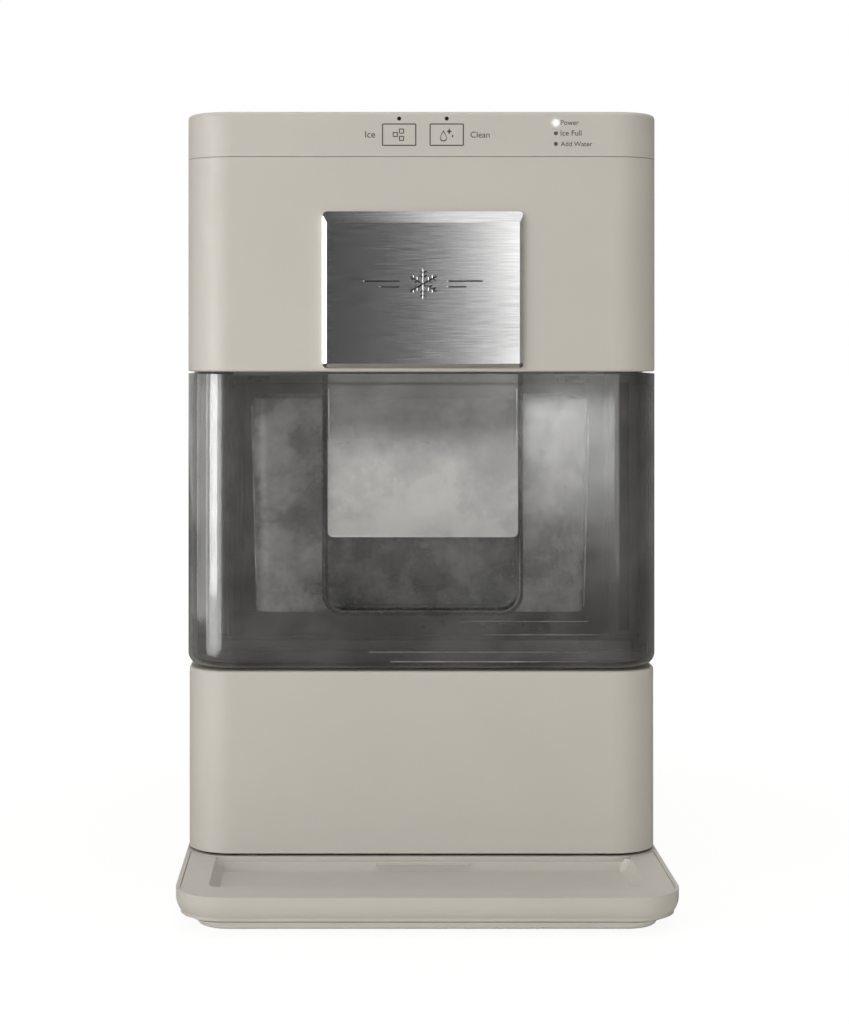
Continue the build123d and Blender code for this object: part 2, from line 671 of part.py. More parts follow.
def motor_pinion():
    """Motor rotor shaft with its small gear."""
    half_tooth = 180 / PINION_TEETH
    pinion = prism(Pos(*PINION_AT) * toothed_wheel(PINION_TEETH, half_tooth), 79, 91)
    return pinion + post(PINION_AT, 17, BOX_HIGH + 1.5, ROTOR_R) + post(PINION_AT, 24, 60, 12)


def gear_motor():
    """Motor can under the gearbox."""
    can = post(PINION_AT, 14, BOX_LOW - 0.2, 29)
    can = fillet(can.edges().group_by(Axis.Z)[0], 3)
    can -= post(PINION_AT, 23, 61, 14) + post(PINION_AT, 16.5, 80, ROTOR_R + RUNNING)
    for i in range(12):
        can += Pos(PINION_AT[0], PINION_AT[1], 38) * Rot(0, 0, 30 * i) * Pos(29, 0, 0) * Box(1.6, 3, 34)
    return can


def box_block(inset, z_low, z_high, radius):
    """Rounded block on the gearbox's outline."""
    wide = BOX_X[1] - BOX_X[0] - 2 * inset
    deep = BOX_Y[1] - BOX_Y[0] - 2 * inset
    outline = RectangleRounded(wide, deep, radius)
    return prism(Pos(sum(BOX_X) / 2, sum(BOX_Y) / 2) * outline, z_low, z_high)


def gearbox_housing():
    housing = box_block(0, BOX_LOW, BOX_HIGH, 10) - box_block(3, BOX_LOW + 4, BOX_HIGH + 1, 7)
    housing -= post(PINION_AT, 60, 80, 3.4)
    housing += ring(AXIS, BOX_LOW + 1, 77.5, 10, 5.3)
    return housing - post(AXIS, BOX_LOW - 1, 80, 5.3)


def gearbox_cover():
    cover = box_block(0, BOX_HIGH, BARREL_LOW, 10)
    cover -= post(AXIS, BOX_HIGH - 1, BARREL_LOW + 1, 8.3)
    return cover - post(PINION_AT, BOX_HIGH - 4, BOX_HIGH + 2, ROTOR_R + RUNNING)


def tower_bracket():
    """Folded steel stand that carries the gearbox above the base."""
    plate = box_block(0, BOX_LOW - 4, BOX_LOW, 10) - post(PINION_AT, 60, 80, 31)
    for x in (BOX_X[0] + 8, BOX_X[1] - 8):
        for y in (BOX_Y[0] + 6, BOX_Y[1] - 6):
            plate += block((x - 5, x + 5), (y - 2, y + 2), (BASE_FLOOR + 0.1, BOX_LOW - 2))
            plate += block((x - 6, x + 6), (y - 6, y + 6), (BASE_FLOOR + 0.1, BASE_FLOOR + 2.1))
    return plate


def auger_screw():
    """Ice auger: a screw that scrapes the barrel and pushes the ice up to the extruder."""
    low, high = 118.0, 322.0
    core = post(AXIS, low, high, 8.0) + post(AXIS, 74, HEAD_HIGH - 2, SHAFT_R)
    foot = (AXIS[0], AXIS[1], low + 4)
    spine = Helix(pitch=34.0, height=high - low - 8, radius=12.7, center=foot)
    section = Plane(origin=spine @ 0, x_dir=(1, 0, 0), z_dir=spine % 0) * Rectangle(9.8, 3.0)
    return core + sweep(section, path=spine, is_frenet=True)


def evaporator_barrel():
    """Stainless barrel with its foot flange and water port."""
    x, y, port_z = AXIS[0], AXIS[1], 117
    barrel = post(AXIS, BARREL_LOW, BARREL_HIGH, BARREL_R)
    barrel += post(AXIS, BARREL_LOW, BARREL_LOW + 5, 34)
    barrel += rod((x, y - 20, port_z), (x, y - 36, port_z), 4.0)
    barrel -= post(AXIS, BARREL_LOW + 8, BARREL_HIGH + 1, BARREL_BORE)
    barrel -= post(AXIS, BARREL_LOW - 1, BARREL_LOW + 9, 8.3)
    return barrel - rod((x, y - 12, port_z), (x, y - 40, port_z), 2.6)


def auger_bushes():
    """Plain bearings at the foot and the head of the auger."""
    bore = SHAFT_R + RUNNING
    return Compound([ring(AXIS, 101, 112, 8.2, bore), ring(AXIS, 340, 347, 8.2, bore)])


def extruder_head():
    """Head that squeezes the ice into nuggets through ports around the bearing."""
    head = post(AXIS, BARREL_HIGH + 0.1, HEAD_HIGH, HEAD_R)
    head -= post(AXIS, BARREL_HIGH - 1, 339.8, BARREL_BORE)
    head -= post(AXIS, 330, 348, 8.3) + post(AXIS, 340, HEAD_HIGH + 1, 5.4)
    for i in range(8):
        a = 2 * pi * i / 8
        head -= post((AXIS[0] + 16.5 * cos(a), AXIS[1] + 16.5 * sin(a)), 335, HEAD_HIGH + 1, 5.0)
    return head


def evaporator_coil():
    """Refrigerant coil wound around the barrel."""
    spine = Helix(pitch=COIL_PITCH, height=COIL_PITCH * COIL_TURNS, radius=COIL_R,
                  center=(AXIS[0], AXIS[1], COIL_LOW))
    section = Plane(origin=spine @ 0, z_dir=spine % 0) * Circle(COIL_TUBE)
    return sweep(section, path=spine, is_frenet=True)


def evaporator_insulation():
    """Foam jacket around the coil, notched where its two ends leave."""
    low, high = 124.0, 322.0
    jacket = ring(AXIS, low, high, JACKET_R, COIL_R + COIL_TUBE + 0.4)
    x = AXIS[0] + COIL_R
    coil_high = COIL_LOW + COIL_PITCH * COIL_TURNS
    jacket -= block((x - 5, x + 5), (AXIS[1], AXIS[1] + 60), (coil_high - 6, coil_high + 10))
    return jacket - block((x - 5, x + 5), (AXIS[1] - 60, AXIS[1]), (COIL_LOW - 7, COIL_LOW + 5))


# ---- refrigeration ---------------------------------------------------------------------------
def compressor_shell():
    shell = soften(post(COMP_AT, COMP_LOW, 92, COMP_R), COMP_LOW, 18)
    shell += soften(post(COMP_AT, 92, COMP_HIGH, COMP_R), COMP_HIGH, 30)
    shell += post(COMP_AT, 90, 95, COMP_R + 2.5)
    for x, y in STUBS:
        shell += post((x, y), COMP_HIGH - 20, COMP_HIGH + 8, 4.0)
    return shell


def compressor_mount():
    """Foot plate welded under the compressor, with a hole for each grommet."""
    x, y = COMP_AT
    plate = prism(Pos(x, y) * RectangleRounded(92, 132, 10), 16.0, 18.5)
    for at in COMP_FEET:
        plate -= post(at, 10, 30, 5.2)
    plate += ring(COMP_AT, 18.5, COMP_LOW + 4, 31, 28)
    return plate - soften(post(COMP_AT, COMP_LOW, 92, COMP_R), COMP_LOW, 18)


def compressor_grommets():
    """Rubber isolators that hold the foot plate off the base."""
    pieces = []
    for at in COMP_FEET:
        piece = post(at, 12, 21, 8) - ring(at, 16, 18.5, 9, 5.2)
        pieces.append(piece - post(at, 10, 30, 2.2))
    return Compound(pieces)


def terminal_cover():
    """Cover over the compressor's terminals, on its left side."""
    x, y = COMP_AT
    cover = block((x - COMP_R - 14, x - COMP_R + 8), (y - 20, y + 20), (50, 88))
    cover = fillet(cover.edges().filter_by(Axis.Z).group_by(Axis.X)[0], 4)
    return cover - post(COMP_AT, 40, 100, COMP_R + 0.2)


def condenser_tubes():
    """Serpentine of round tube, one pass above the other."""
    front, back = 80.0, 190.0
    points = []
    for i in range(PASSES):
        z = PASS_LOW + PASS_PITCH * i
        ends = [(COIL_X, front, z), (COIL_X, back + 12, z)]
        points += ends if i % 2 == 0 else ends[::-1]
    # Inner turns stand a little ahead of the two open ends.
    bent = [(x, y + 8 if 0 < n < len(points) - 1 and y == front else y, z)
            for n, (x, y, z) in enumerate(points)]
    return pipe(bent, CONDENSER_TUBE, PASS_PITCH / 2 - 0.01)


def condenser_fins():
    height = PASS_PITCH * PASSES
    middle = PASS_LOW + PASS_PITCH * (PASSES - 1) / 2
    fin = Rectangle(24, height)
    for z in row_of(PASSES, PASS_PITCH):
        fin -= Pos(0, z) * Circle(CONDENSER_TUBE + 0.02)
    fins = []
    for offset_y in row_of(FINS, FIN_PITCH):
        at = Plane(origin=(COIL_X, FINS_Y + offset_y, middle), x_dir=(1, 0, 0), z_dir=(0, 1, 0))
        fins.append(extrude(at * fin, 0.5))
    return Compound(fins)


def fan_shroud():
    """Square frame with a round duct, bolted against the condenser."""
    y, z = FAN_AT
    x0, x1 = FAN_X
    frame = block((x0, x1), (y - 60, y + 60), (z - 60, z + 60))
    frame = fillet(frame.edges().filter_by(Axis.X), 6)
    frame -= rod((x0 - 1, y, z), (x1 + 1, y, z), FAN_R + 1.5)
    frame += rod((x0, y, z), (x0 + 4, y, z), 20) + rod((x0, y, z), (x0 + 16, y, z), 2.5)
    for i in range(4):
        frame += Pos(x0 + 2, y, z) * Rot(45 + 90 * i, 0, 0) * Pos(0, 0, 38) * Box(4, 5, 40)
    for dy in (-52, 52):
        for dz in (-52, 52):
            frame -= rod((x0 - 1, y + dy, z + dz), (x1 + 1, y + dy, z + dz), 2.2)
    return frame


def fan_rotor():
    """Seven-blade axial fan."""
    y, z = FAN_AT
    x0, x1 = FAN_X
    hub = rod((x0 + 5, y, z), (x1 - 2, y, z), 19)
    hub = fillet(hub.edges().filter_by(GeomType.CIRCLE).sort_by(Axis.X)[-1:], 3)
    sweep_zone = rod((x0 + 5, y, z), (x1 - 2, y, z), FAN_R)
    blades = [Pos((x0 + x1) / 2 + 1, y, z) * Rot(360 * i / 7, 0, 0) * Pos(0, 0, 36) * Rot(0, 0, 55)
              * Box(30, 1.8, 40) for i in range(7)]
    for blade in blades:
        hub += blade & sweep_zone
    return hub - rod((x0 + 4, y, z), (x0 + 17, y, z), 2.5 + RUNNING)


def filter_drier():
    body = post(DRIER_AT, DRIER_Z[0] + 8, DRIER_Z[1] - 8, 9)
    body = fillet(body.edges().filter_by(GeomType.CIRCLE), 4)
    return body + post(DRIER_AT, DRIER_Z[0], DRIER_Z[1], 3.0)


def discharge_tube():
    """Compressor to the condenser's top pass."""
    top = PASS_LOW + PASS_PITCH * (PASSES - 1)
    x, y = STUBS[1]
    low = COMP_HIGH + 20
    return pipe([(COIL_X, 79.9, top), (COIL_X, 71, top), (121, 71, top), (121, 71, low), (x, 71, low),
                 (x, y, low), (x, y, COMP_HIGH + 8.1)], PIPE_R, [4, 5, 12, 12, 8])


def liquid_tube():
    """Condenser's lowest pass to the filter drier."""
    x, y = DRIER_AT
    return pipe([(COIL_X, 79.9, PASS_LOW), (COIL_X, y, PASS_LOW), (COIL_X, y, 193), (x, y, 193),
                 (x, y, DRIER_Z[0] - 0.1)], PIPE_R, [5, 10, 3.4])


def capillary_tube():
    """Filter drier to the foot of the evaporator coil."""
    x, y = DRIER_AT
    coil_x = AXIS[0] + COIL_R
    return pipe([(x, y, DRIER_Z[1] + 0.1), (x, y, 284), (coil_x, y, 284), (coil_x, y, COIL_LOW),
                 (coil_x, AXIS[1] - 0.4, COIL_LOW)], 1.2, 8)


def suction_tube():
    """Head of the evaporator coil back to the compressor."""
    x, y = STUBS[0]
    coil_x, z = AXIS[0] + COIL_R, COIL_LOW + COIL_PITCH * COIL_TURNS
    return pipe([(coil_x, AXIS[1] + 0.6, z), (coil_x, 203, z), (x, 203, z), (x, 203, 186), (x, y, 186),
                 (x, y, COMP_HIGH + 8.1)], PIPE_R, [12, 12, 12, 6])


# ---- electrics -------------------------------------------------------------------------------
def board_tray():
    """Tray above the bin compartment that carries the main board."""
    tray = block((-8, 118), (Y_FRONT + 16, -20), (293.2, 299))
    tray -= block((-6, 116), (Y_FRONT + 18, -22), (295.2, 301))
    for x in (2, 108):
        for y in (Y_FRONT + 26, -30):
            tray += post((x, y), 294, 301, 3)
    return tray


def main_board():
    """Power and control board with its transformer, relays, capacitors and connectors."""
    low = 302.6
    board = block((-4, 114), (Y_FRONT + 20, -24), (301, low))
    board += block((70, 106), (-70, -34), (low, low + 26))
    for x in row_of(3, 22):
        board += block((x + 22, x + 38), (-48, -29), (low, low + 14))
    for x, y, r in ((60, -90, 7), (78, -90, 7), (96, -90, 5)):
        board += post((x, y), low, low + 22, r)
    for x in row_of(4, 16):
        board += block((x + 14, x + 26), (Y_FRONT + 22, Y_FRONT + 29), (low, low + 8))
    return board


def power_inlet():
    """Appliance inlet for a mains lead, with its earth, live and neutral pins."""
    x, z = INLET_AT
    shell = block((x - 14, x + 14), (Y_BACK - 24, Y_BACK - 0.2), (z - 10, z + 10))
    shell += block((x - 18, x + 18), (Y_BACK - 5, Y_BACK - SKIN - 0.1), (z - 14, z + 14))
    shell -= block((x - 12, x + 12), (Y_BACK - 19, Y_BACK + 1), (z - 8, z + 8))
    for dx, dz in ((-7, -2), (7, -2), (0, 2.5)):
        shell += block((x + dx - 1, x + dx + 1), (Y_BACK - 20, Y_BACK - 6), (z + dz - 2, z + dz + 2))
    return shell


PARTS = [
    top_cover, indicator_lenses, touch_board, upper_front_panel, lower_front_panel, left_side_panel,
    right_side_panel, rear_panel, rear_screws, badge_plate, base_pan, bottom_plate, rubber_feet,
    drip_tray, bin_tub, bin_grip_panel, ice_basket, bin_seal, bin_liner, liner_insulation, ice_chute,
    ice_level_sensors, reservoir, reservoir_lid, fill_strainer, float_stem, level_float, pump_body,
    pump_impeller, water_hoses, drain_spigot, drain_cap, output_gear, motor_pinion, gear_motor,
    gearbox_housing, gearbox_cover, tower_bracket, auger_screw, evaporator_barrel, auger_bushes,
    extruder_head, evaporator_coil, evaporator_insulation, compressor_shell, compressor_mount,
    compressor_grommets, terminal_cover, condenser_tubes, condenser_fins, fan_shroud, fan_rotor,
    filter_drier, discharge_tube, liquid_tube, capillary_tube, suction_tube, board_tray, main_board,
    power_inlet,
]


def main():
    os.makedirs("parts", exist_ok=True)
    for make in PARTS:
        export_step(make(), f"parts/{make.__name__}.step")
    print(len(PARTS), "parts written")


main()
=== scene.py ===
import json
import math

import bpy
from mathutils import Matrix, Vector


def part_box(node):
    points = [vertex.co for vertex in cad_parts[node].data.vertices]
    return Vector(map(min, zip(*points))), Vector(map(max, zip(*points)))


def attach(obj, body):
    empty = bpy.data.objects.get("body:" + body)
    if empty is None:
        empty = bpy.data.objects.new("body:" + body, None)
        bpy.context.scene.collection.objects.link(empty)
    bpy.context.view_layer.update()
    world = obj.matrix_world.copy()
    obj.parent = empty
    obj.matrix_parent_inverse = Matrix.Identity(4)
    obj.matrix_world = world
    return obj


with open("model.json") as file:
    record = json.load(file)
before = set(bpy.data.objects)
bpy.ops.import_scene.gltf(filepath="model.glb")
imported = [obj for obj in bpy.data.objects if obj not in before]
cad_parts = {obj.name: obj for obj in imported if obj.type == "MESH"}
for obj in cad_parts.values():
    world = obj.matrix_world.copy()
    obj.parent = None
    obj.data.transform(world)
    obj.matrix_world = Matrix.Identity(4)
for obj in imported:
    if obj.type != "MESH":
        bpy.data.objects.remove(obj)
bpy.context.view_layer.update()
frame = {"nodes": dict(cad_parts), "record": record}
NODES = frame["nodes"]
MM = 0.001

FRONT_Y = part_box("upper_front_panel")[0].y
TOP_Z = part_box("top_cover")[1].z


# ---------------------------------------------------------------- stage

VIEW_DISTANCE = 1.159              # from the eye to the front face
VIEW_LENS = 73.42                  # mm
VIEW_SHIFT = (0.0757, -0.1611)     # of the picture, as shares of its longer side
EYE = Vector((-42.15 * MM, FRONT_Y - VIEW_DISTANCE, 302.8 * MM))


def add_camera():
    """A level camera in front of the object, a little left of its middle, with an upright picture plane."""
    data = bpy.data.cameras.new("front_view")
    data.lens = VIEW_LENS
    data.shift_x, data.shift_y = VIEW_SHIFT
    camera = bpy.data.objects.new("front_view", data)
    camera.location = EYE
    camera.rotation_euler = (math.radians(90), 0, 0)
    bpy.context.scene.collection.objects.link(camera)
    bpy.context.scene.camera = camera


WATTS_PER_RADIANCE = 4     # an area lamp's power, per square metre and unit of radiance


def add_softbox(name, centre, target, size, radiance, seen_by):
    """A soft light of even brightness that the camera doesn't see.

    Seen by "matt", it lights surfaces. Seen by "gloss", it only shows in reflections.
    """
    data = bpy.data.lights.new(name, "AREA")
    data.shape = "RECTANGLE"
    data.size, data.size_y = size
    data.energy = WATTS_PER_RADIANCE * size[0] * size[1] * radiance
    lamp = bpy.data.objects.new(name, data)
    lamp.location = centre
    lamp.rotation_euler = (Vector(target) - Vector(centre)).to_track_quat("-Z", "Y").to_euler()
    lamp.visible_camera = False
    lamp.visible_diffuse = seen_by == "matt"
    lamp.visible_glossy = seen_by == "gloss"
    bpy.context.scene.collection.objects.link(lamp)


def add_lights():
    """Soft light from four sides for matt surfaces, and the cards that show in glossy ones."""
    middle = (0, 0, 0.25)
    add_softbox("left_key", (-1.30, -1.25, 0.72), middle, (0.95, 1.35), 2.0, "matt")
    add_softbox("front_fill", (0.35, -2.2, 0.32), (0, 0, 0.18), (1.5, 0.66), 2.95, "matt")
    add_softbox("top_box", (0, 0.0, 1.9), (0, 0, 0), (1.9, 1.9), 1.5, "matt")
    add_softbox("rear_box", (0.9, 2.2, 1.1), middle, (1.4, 1.4), 1.6, "matt")
    add_strips()
    add_cards()


STRIP_SPOT = (-0.60, -0.54)                                # x and y
STRIP_LOW, STRIP_SPLIT, STRIP_HIGH = 0.002, 0.11, 0.62     # z
STRIP_WIDE, SIDES_WIDE = 0.24, 0.52
SWEEP_SIZE = (0.7, 0.64)


def add_strips():
    """Cards to the left, which show on the left corner of the bin.

    A hot strip stands between softer sides, and fainter cards run on towards the back.
    """
    def strip(name, low, high, width, radiance):
        z = (low + high) / 2
        add_softbox(name, (*STRIP_SPOT, z), (-0.12, -0.13, z), (width, high - low), radiance, "gloss")

    strip("left_strip", STRIP_SPLIT, STRIP_HIGH, STRIP_WIDE, 14.0)
    strip("left_strip_low", STRIP_LOW, STRIP_SPLIT, STRIP_WIDE, 8.0)
    strip("left_strip_sides", STRIP_LOW, STRIP_HIGH, SIDES_WIDE, 4.0)
    for name, y, radiance in (("near", -0.20, 2.8), ("far", 0.40, 0.25)):
        centre, target = (-1.15, y, 0.32), (-0.13, -0.1, 0.25)
        add_softbox(f"left_sweep_{name}", centre, target, SWEEP_SIZE, radiance, "gloss")


FAR_DISTANCE, NEAR_DISTANCE = 2.0, 0.8          # in front of the front face
FAR_CARDS = (0.05, 0.42, 1.1, 2.1)              # radiance, from left to right
FAR_LEFT, FAR_STEP, FAR_RIGHT = 0.09, 0.05, 0.80
FAR_LOW, FAR_SPLIT, FAR_HIGH = 0.06, 0.37, 1.3
FAR_LOW_SHARE = 0.55                            # brightness below the split
NEAR_CARDS = (0.5, 1.1, 2.2, 3.6, 5.2, 6.4)     # radiance, from low to high
NEAR_LOW, NEAR_STEP = 0.085, 0.028
NEAR_LEFT, NEAR_RIGHT = 0.125, 0.216


def add_cards():
    """Cards in front, to the right: the far ones show in the plate, the near ones in the bin's right half.

    The far cards brighten to the right and upwards, and the near cards upwards. One more card hangs
    over the front.
    """
    def card(name, distance, left, right, low, high, radiance):
        x, z = (left + right) / 2, (low + high) / 2
        centre, target = (x, FRONT_Y - distance, z), (x, 0, z)
        add_softbox(name, centre, target, (right - left, high - low), radiance, "gloss")

    for step, radiance in enumerate(FAR_CARDS):
        left = FAR_LEFT + FAR_STEP * step
        right = left + FAR_STEP if step < len(FAR_CARDS) - 1 else FAR_RIGHT
        lower = FAR_LOW_SHARE * radiance
        card(f"far_card_low_{step}", FAR_DISTANCE, left, right, FAR_LOW, FAR_SPLIT, lower)
        card(f"far_card_{step}", FAR_DISTANCE, left, right, FAR_SPLIT, FAR_HIGH, radiance)
    for step, radiance in enumerate(NEAR_CARDS):
        low = NEAR_LOW + NEAR_STEP * step
        card(f"near_card_{step}", NEAR_DISTANCE, NEAR_LEFT, NEAR_RIGHT, low, low + NEAR_STEP, radiance)
    add_softbox("overhead_card", (0.45, -0.75, 1.5), (0.05, -0.13, 0.37), (0.9, 0.7), 1.0, "gloss")


def ramp(tree, value, start, end, low, high, interpolation="LINEAR"):
    """Value from start to end, rescaled to run from low to high and held there beyond."""
    node = tree.nodes.new("ShaderNodeMapRange")
    node.interpolation_type = interpolation
    tree.links.new(value, node.inputs["Value"])
    for key, number in (("From Min", start), ("From Max", end), ("To Min", low), ("To Max", high)):
        node.inputs[key].default_value = number
    return node.outputs["Result"]


def mix_shaders(tree, factor, first, second):
    """The first shader where factor is 0 and the second where it is 1."""
    node = tree.nodes.new("ShaderNodeMixShader")
    for source, socket in zip((factor, first, second), node.inputs):
        tree.links.new(source, socket)
    return node.outputs[0]


STUDIO_DARK, SWEEP_LIGHT = 0.050, 0.60     # in reflections, in front of the object and behind it
SWEEP_RISE = (-0.15, 0.35)                 # from dark to light, as y of the direction
RIGHT_SHARE = 0.16                         # how much of either is left on the right
RIGHT_FALL = (-0.02, 0.12)                 # from all of it to that share, as x of the direction
ROOM_LIGHT = (0.185, 0.172, 0.150)         # even light on matt surfaces


def add_world():
    """White to the camera, and dim even light on matt surfaces.

    Reflections show a dark studio in front of the object and a pale sweep behind its left side.
    """
    world = bpy.data.worlds.new("studio")
    world.use_nodes = True
    bpy.context.scene.world = world
    tree = world.node_tree
    nodes, links = tree.nodes, tree.links
    path = nodes.new("ShaderNodeLightPath").outputs
    towards = nodes.new("ShaderNodeSeparateXYZ")
    links.new(nodes.new("ShaderNodeTexCoord").outputs["Generated"], towards.inputs[0])
    sweep = nodes.new("ShaderNodeMath")
    sweep.operation = "MULTIPLY"
    links.new(ramp(tree, towards.outputs["Y"], *SWEEP_RISE, STUDIO_DARK, SWEEP_LIGHT), sweep.inputs[0])
    links.new(ramp(tree, towards.outputs["X"], *RIGHT_FALL, 1.0, RIGHT_SHARE), sweep.inputs[1])
    glossy = nodes.new("ShaderNodeBackground")
    links.new(sweep.outputs[0], glossy.inputs["Color"])
    white = nodes.new("ShaderNodeBackground")
    white.inputs["Color"].default_value = (1, 1, 1, 1)
    room = nodes["Background"]
    room.inputs["Color"].default_value = (*ROOM_LIGHT, 1)
    lighting = mix_shaders(tree, path["Is Glossy Ray"], room.outputs[0], glossy.outputs[0])
    picture = mix_shaders(tree, path["Is Camera Ray"], lighting, white.outputs[0])
    links.new(picture, nodes["World Output"].inputs["Surface"])


FLOOR_REACH = 20.0
FLOOR_WHITE, FLOOR_IN_GLOSS = 1.06, 0.08    # brightness to the camera, and in reflections
FLOOR_PAINT = (0.80, 0.78, 0.74)
WHITE_NEAR = 0.88                           # the rest is paint there, which takes the shadow
SHADOW_FADE = (0.25, 0.75)                  # where the paint gives way to white, from the middle


def add_floor():
    """A white floor that keeps a faint contact shadow, and is dim in reflections."""
    corners = [(x * FLOOR_REACH, y * FLOOR_REACH, 0) for x, y in ((-1, -1), (1, -1), (1, 1), (-1, 1))]
    mesh = bpy.data.meshes.new("floor")
    mesh.from_pydata(corners, [], [(0, 1, 2, 3)])
    floor = bpy.data.objects.new("floor", mesh)
    bpy.context.scene.collection.objects.link(floor)
    material = bpy.data.materials.new("floor_white")
    material.use_nodes = True
    tree = material.node_tree
    nodes, links = tree.nodes, tree.links

    def glow(strength):
        node = nodes.new("ShaderNodeEmission")
        node.inputs["Strength"].default_value = strength
        return node.outputs[0]

    paint = nodes["Principled BSDF"]
    paint.inputs["Base Color"].default_value = (*FLOOR_PAINT, 1)
    paint.inputs["Roughness"].default_value = 0.9
    paint.inputs["Specular IOR Level"].default_value = 0.1
    painted = paint.outputs[0]
    path = nodes.new("ShaderNodeLightPath").outputs
    away = nodes.new("ShaderNodeVectorMath")
    away.operation = "LENGTH"
    links.new(nodes.new("ShaderNodeTexCoord").outputs["Object"], away.inputs[0])
    fade = ramp(tree, away.outputs["Value"], *SHADOW_FADE, WHITE_NEAR, 1.0)
    soft_shadow = mix_shaders(tree, fade, painted, glow(FLOOR_WHITE))
    by_sight = mix_shaders(tree, path["Is Camera Ray"], painted, soft_shadow)
    surface = mix_shaders(tree, path["Is Glossy Ray"], by_sight, glow(FLOOR_IN_GLOSS))
    links.new(surface, nodes["Material Output"].inputs["Surface"])
    mesh.materials.append(material)


# ---------------------------------------------------------------- material building blocks

class Recipe:
    """One procedural material. Textures are placed in object space, in metres."""

    def __init__(self, name):
        self.material = bpy.data.materials.new(name)
        self.material.use_nodes = True
        self.tree = self.material.node_tree
        self.shader = self.tree.nodes["Principled BSDF"]
        self.output = self.tree.nodes["Material Output"]
        self.place = self.tree.nodes.new("ShaderNodeTexCoord").outputs["Object"]

    def link(self, source, target):
        self.tree.links.new(source, target)

    def set(self, **values):
        """Sets shader sockets: a link for a node output, and a plain value otherwise."""
        for key, value in values.items():
            socket = self.shader.inputs[key.replace("_", " ").title().replace("Ior", "IOR")]
            if isinstance(value, bpy.types.NodeSocket):
                self.link(value, socket)
            elif isinstance(value, tuple):
                socket.default_value = (*value, 1)
            else:
                socket.default_value = value

    def noise(self, size, stretch=(1, 1, 1), detail=3.0, ragged=0.5):
        """Noise with blotches about size metres across, drawn out along an axis where stretch is over 1."""
        scaled = self.tree.nodes.new("ShaderNodeMapping")
        scaled.inputs["Scale"].default_value = [1 / (size * s) for s in stretch]
        self.link(self.place, scaled.inputs["Vector"])
        texture = self.tree.nodes.new("ShaderNodeTexNoise")
        texture.inputs["Scale"].default_value = 1.0
        texture.inputs["Detail"].default_value = detail
        texture.inputs["Roughness"].default_value = ragged
        self.link(scaled.outputs["Vector"], texture.inputs["Vector"])
        return texture.outputs["Fac"]

    def spread(self, value, low, high, start=0.3, end=0.7):
        """Value from start to end, smoothly rescaled to run from low to high."""
        return ramp(self.tree, value, start, end, low, high, "SMOOTHSTEP")

    def axis(self, name):
        """One coordinate of the surface point, in metres."""
        node = self.tree.nodes.new("ShaderNodeSeparateXYZ")
        self.link(self.place, node.inputs[0])
        return node.outputs[name]

    def facing(self):
        """0 where the surface faces the eye and 1 at its outline."""
        node = self.tree.nodes.new("ShaderNodeLayerWeight")
        node.inputs["Blend"].default_value = 0.5
        return node.outputs["Facing"]

    def maths(self, operation, first, second):
        """One operation on two values, each a node output or a number."""
        node = self.tree.nodes.new("ShaderNodeMath")
        node.operation = operation
        for socket, value in zip(node.inputs, (first, second)):
            if isinstance(value, bpy.types.NodeSocket):
                self.link(value, socket)
            else:
                socket.default_value = value
        return node.outputs[0]

    def blend(self, value, first, second):
        """Colour between first and second."""
        node = self.tree.nodes.new("ShaderNodeMix")
        node.data_type = "RGBA"
        self.link(value, node.inputs[0])
        node.inputs[6].default_value = (*first, 1)
        node.inputs[7].default_value = (*second, 1)
        return node.outputs[2]

    def drift(self, value, colour, amount):
        """Colour that wanders with value, by up to amount darker and lighter."""
        return self.blend(self.spread(value, 0, 1), shade(colour, 1 - amount), shade(colour, 1 + amount))

    def bump(self, height, depth, strength=1.0):
        """Bumps of depth metres, raised where height is bright."""
        node = self.tree.nodes.new("ShaderNodeBump")
        node.inputs["Strength"].default_value = strength
        node.inputs["Distance"].default_value = depth
        self.link(height, node.inputs["Height"])
        self.set(normal=node.outputs["Normal"])

    def see_through(self, amount, tint=(1, 1, 1)):
        """Mixes the shader over a tinted transparent one; amount is how much of the shader shows."""
        clear = self.tree.nodes.new("ShaderNodeBsdfTransparent")
        clear.inputs["Color"].default_value = (*tint, 1)
        surface = mix_shaders(self.tree, amount, clear.outputs[0], self.shader.outputs[0])
        self.link(surface, self.output.inputs["Surface"])

    def absorb(self, colour, density):
        """Darkens light by the length of its way through the solid."""
        volume = self.tree.nodes.new("ShaderNodeVolumeAbsorption")
        volume.inputs["Color"].default_value = (*colour, 1)
        volume.inputs["Density"].default_value = density
        self.link(volume.outputs[0], self.output.inputs["Volume"])


def shade(colour, factor):
    """Colour made lighter or darker by a factor."""
    return tuple(channel * factor for channel in colour)


# ---------------------------------------------------------------- materials

def moulded(name, colour, rough=0.42, grain=0.5, depth=0.02, drift=0.05, gloss=0.5):
    """Moulded plastic or paint: a fine grain of grain mm, depth mm deep, and a slight drift in colour."""
    recipe = Recipe(name)
    broad = recipe.noise(0.06)
    fine = recipe.noise(grain * MM, detail=2.0)
    recipe.set(
        base_color=recipe.drift(broad, colour, drift),
        roughness=recipe.spread(recipe.noise(0.012), rough - 0.05, rough + 0.05),
        specular_ior_level=gloss,
    )
    recipe.bump(fine, depth * MM, 0.6)
    return recipe.material


def bare_metal(name, colour, rough=0.3, stretch=(1, 1, 1), scratch=0.4, depth=0.01, drift=0.1):
    """Metal with streaks of scratch mm, drawn out along an axis."""
    recipe = Recipe(name)
    streak = recipe.noise(scratch * MM, stretch=stretch, detail=4.0, ragged=0.6)
    stain = recipe.noise(0.02)
    recipe.set(
        base_color=recipe.drift(stain, colour, drift),
        roughness=recipe.spread(streak, rough - 0.08, rough + 0.1),
        metallic=1.0,
    )
    recipe.bump(streak, depth * MM, 0.7)
    return recipe.material


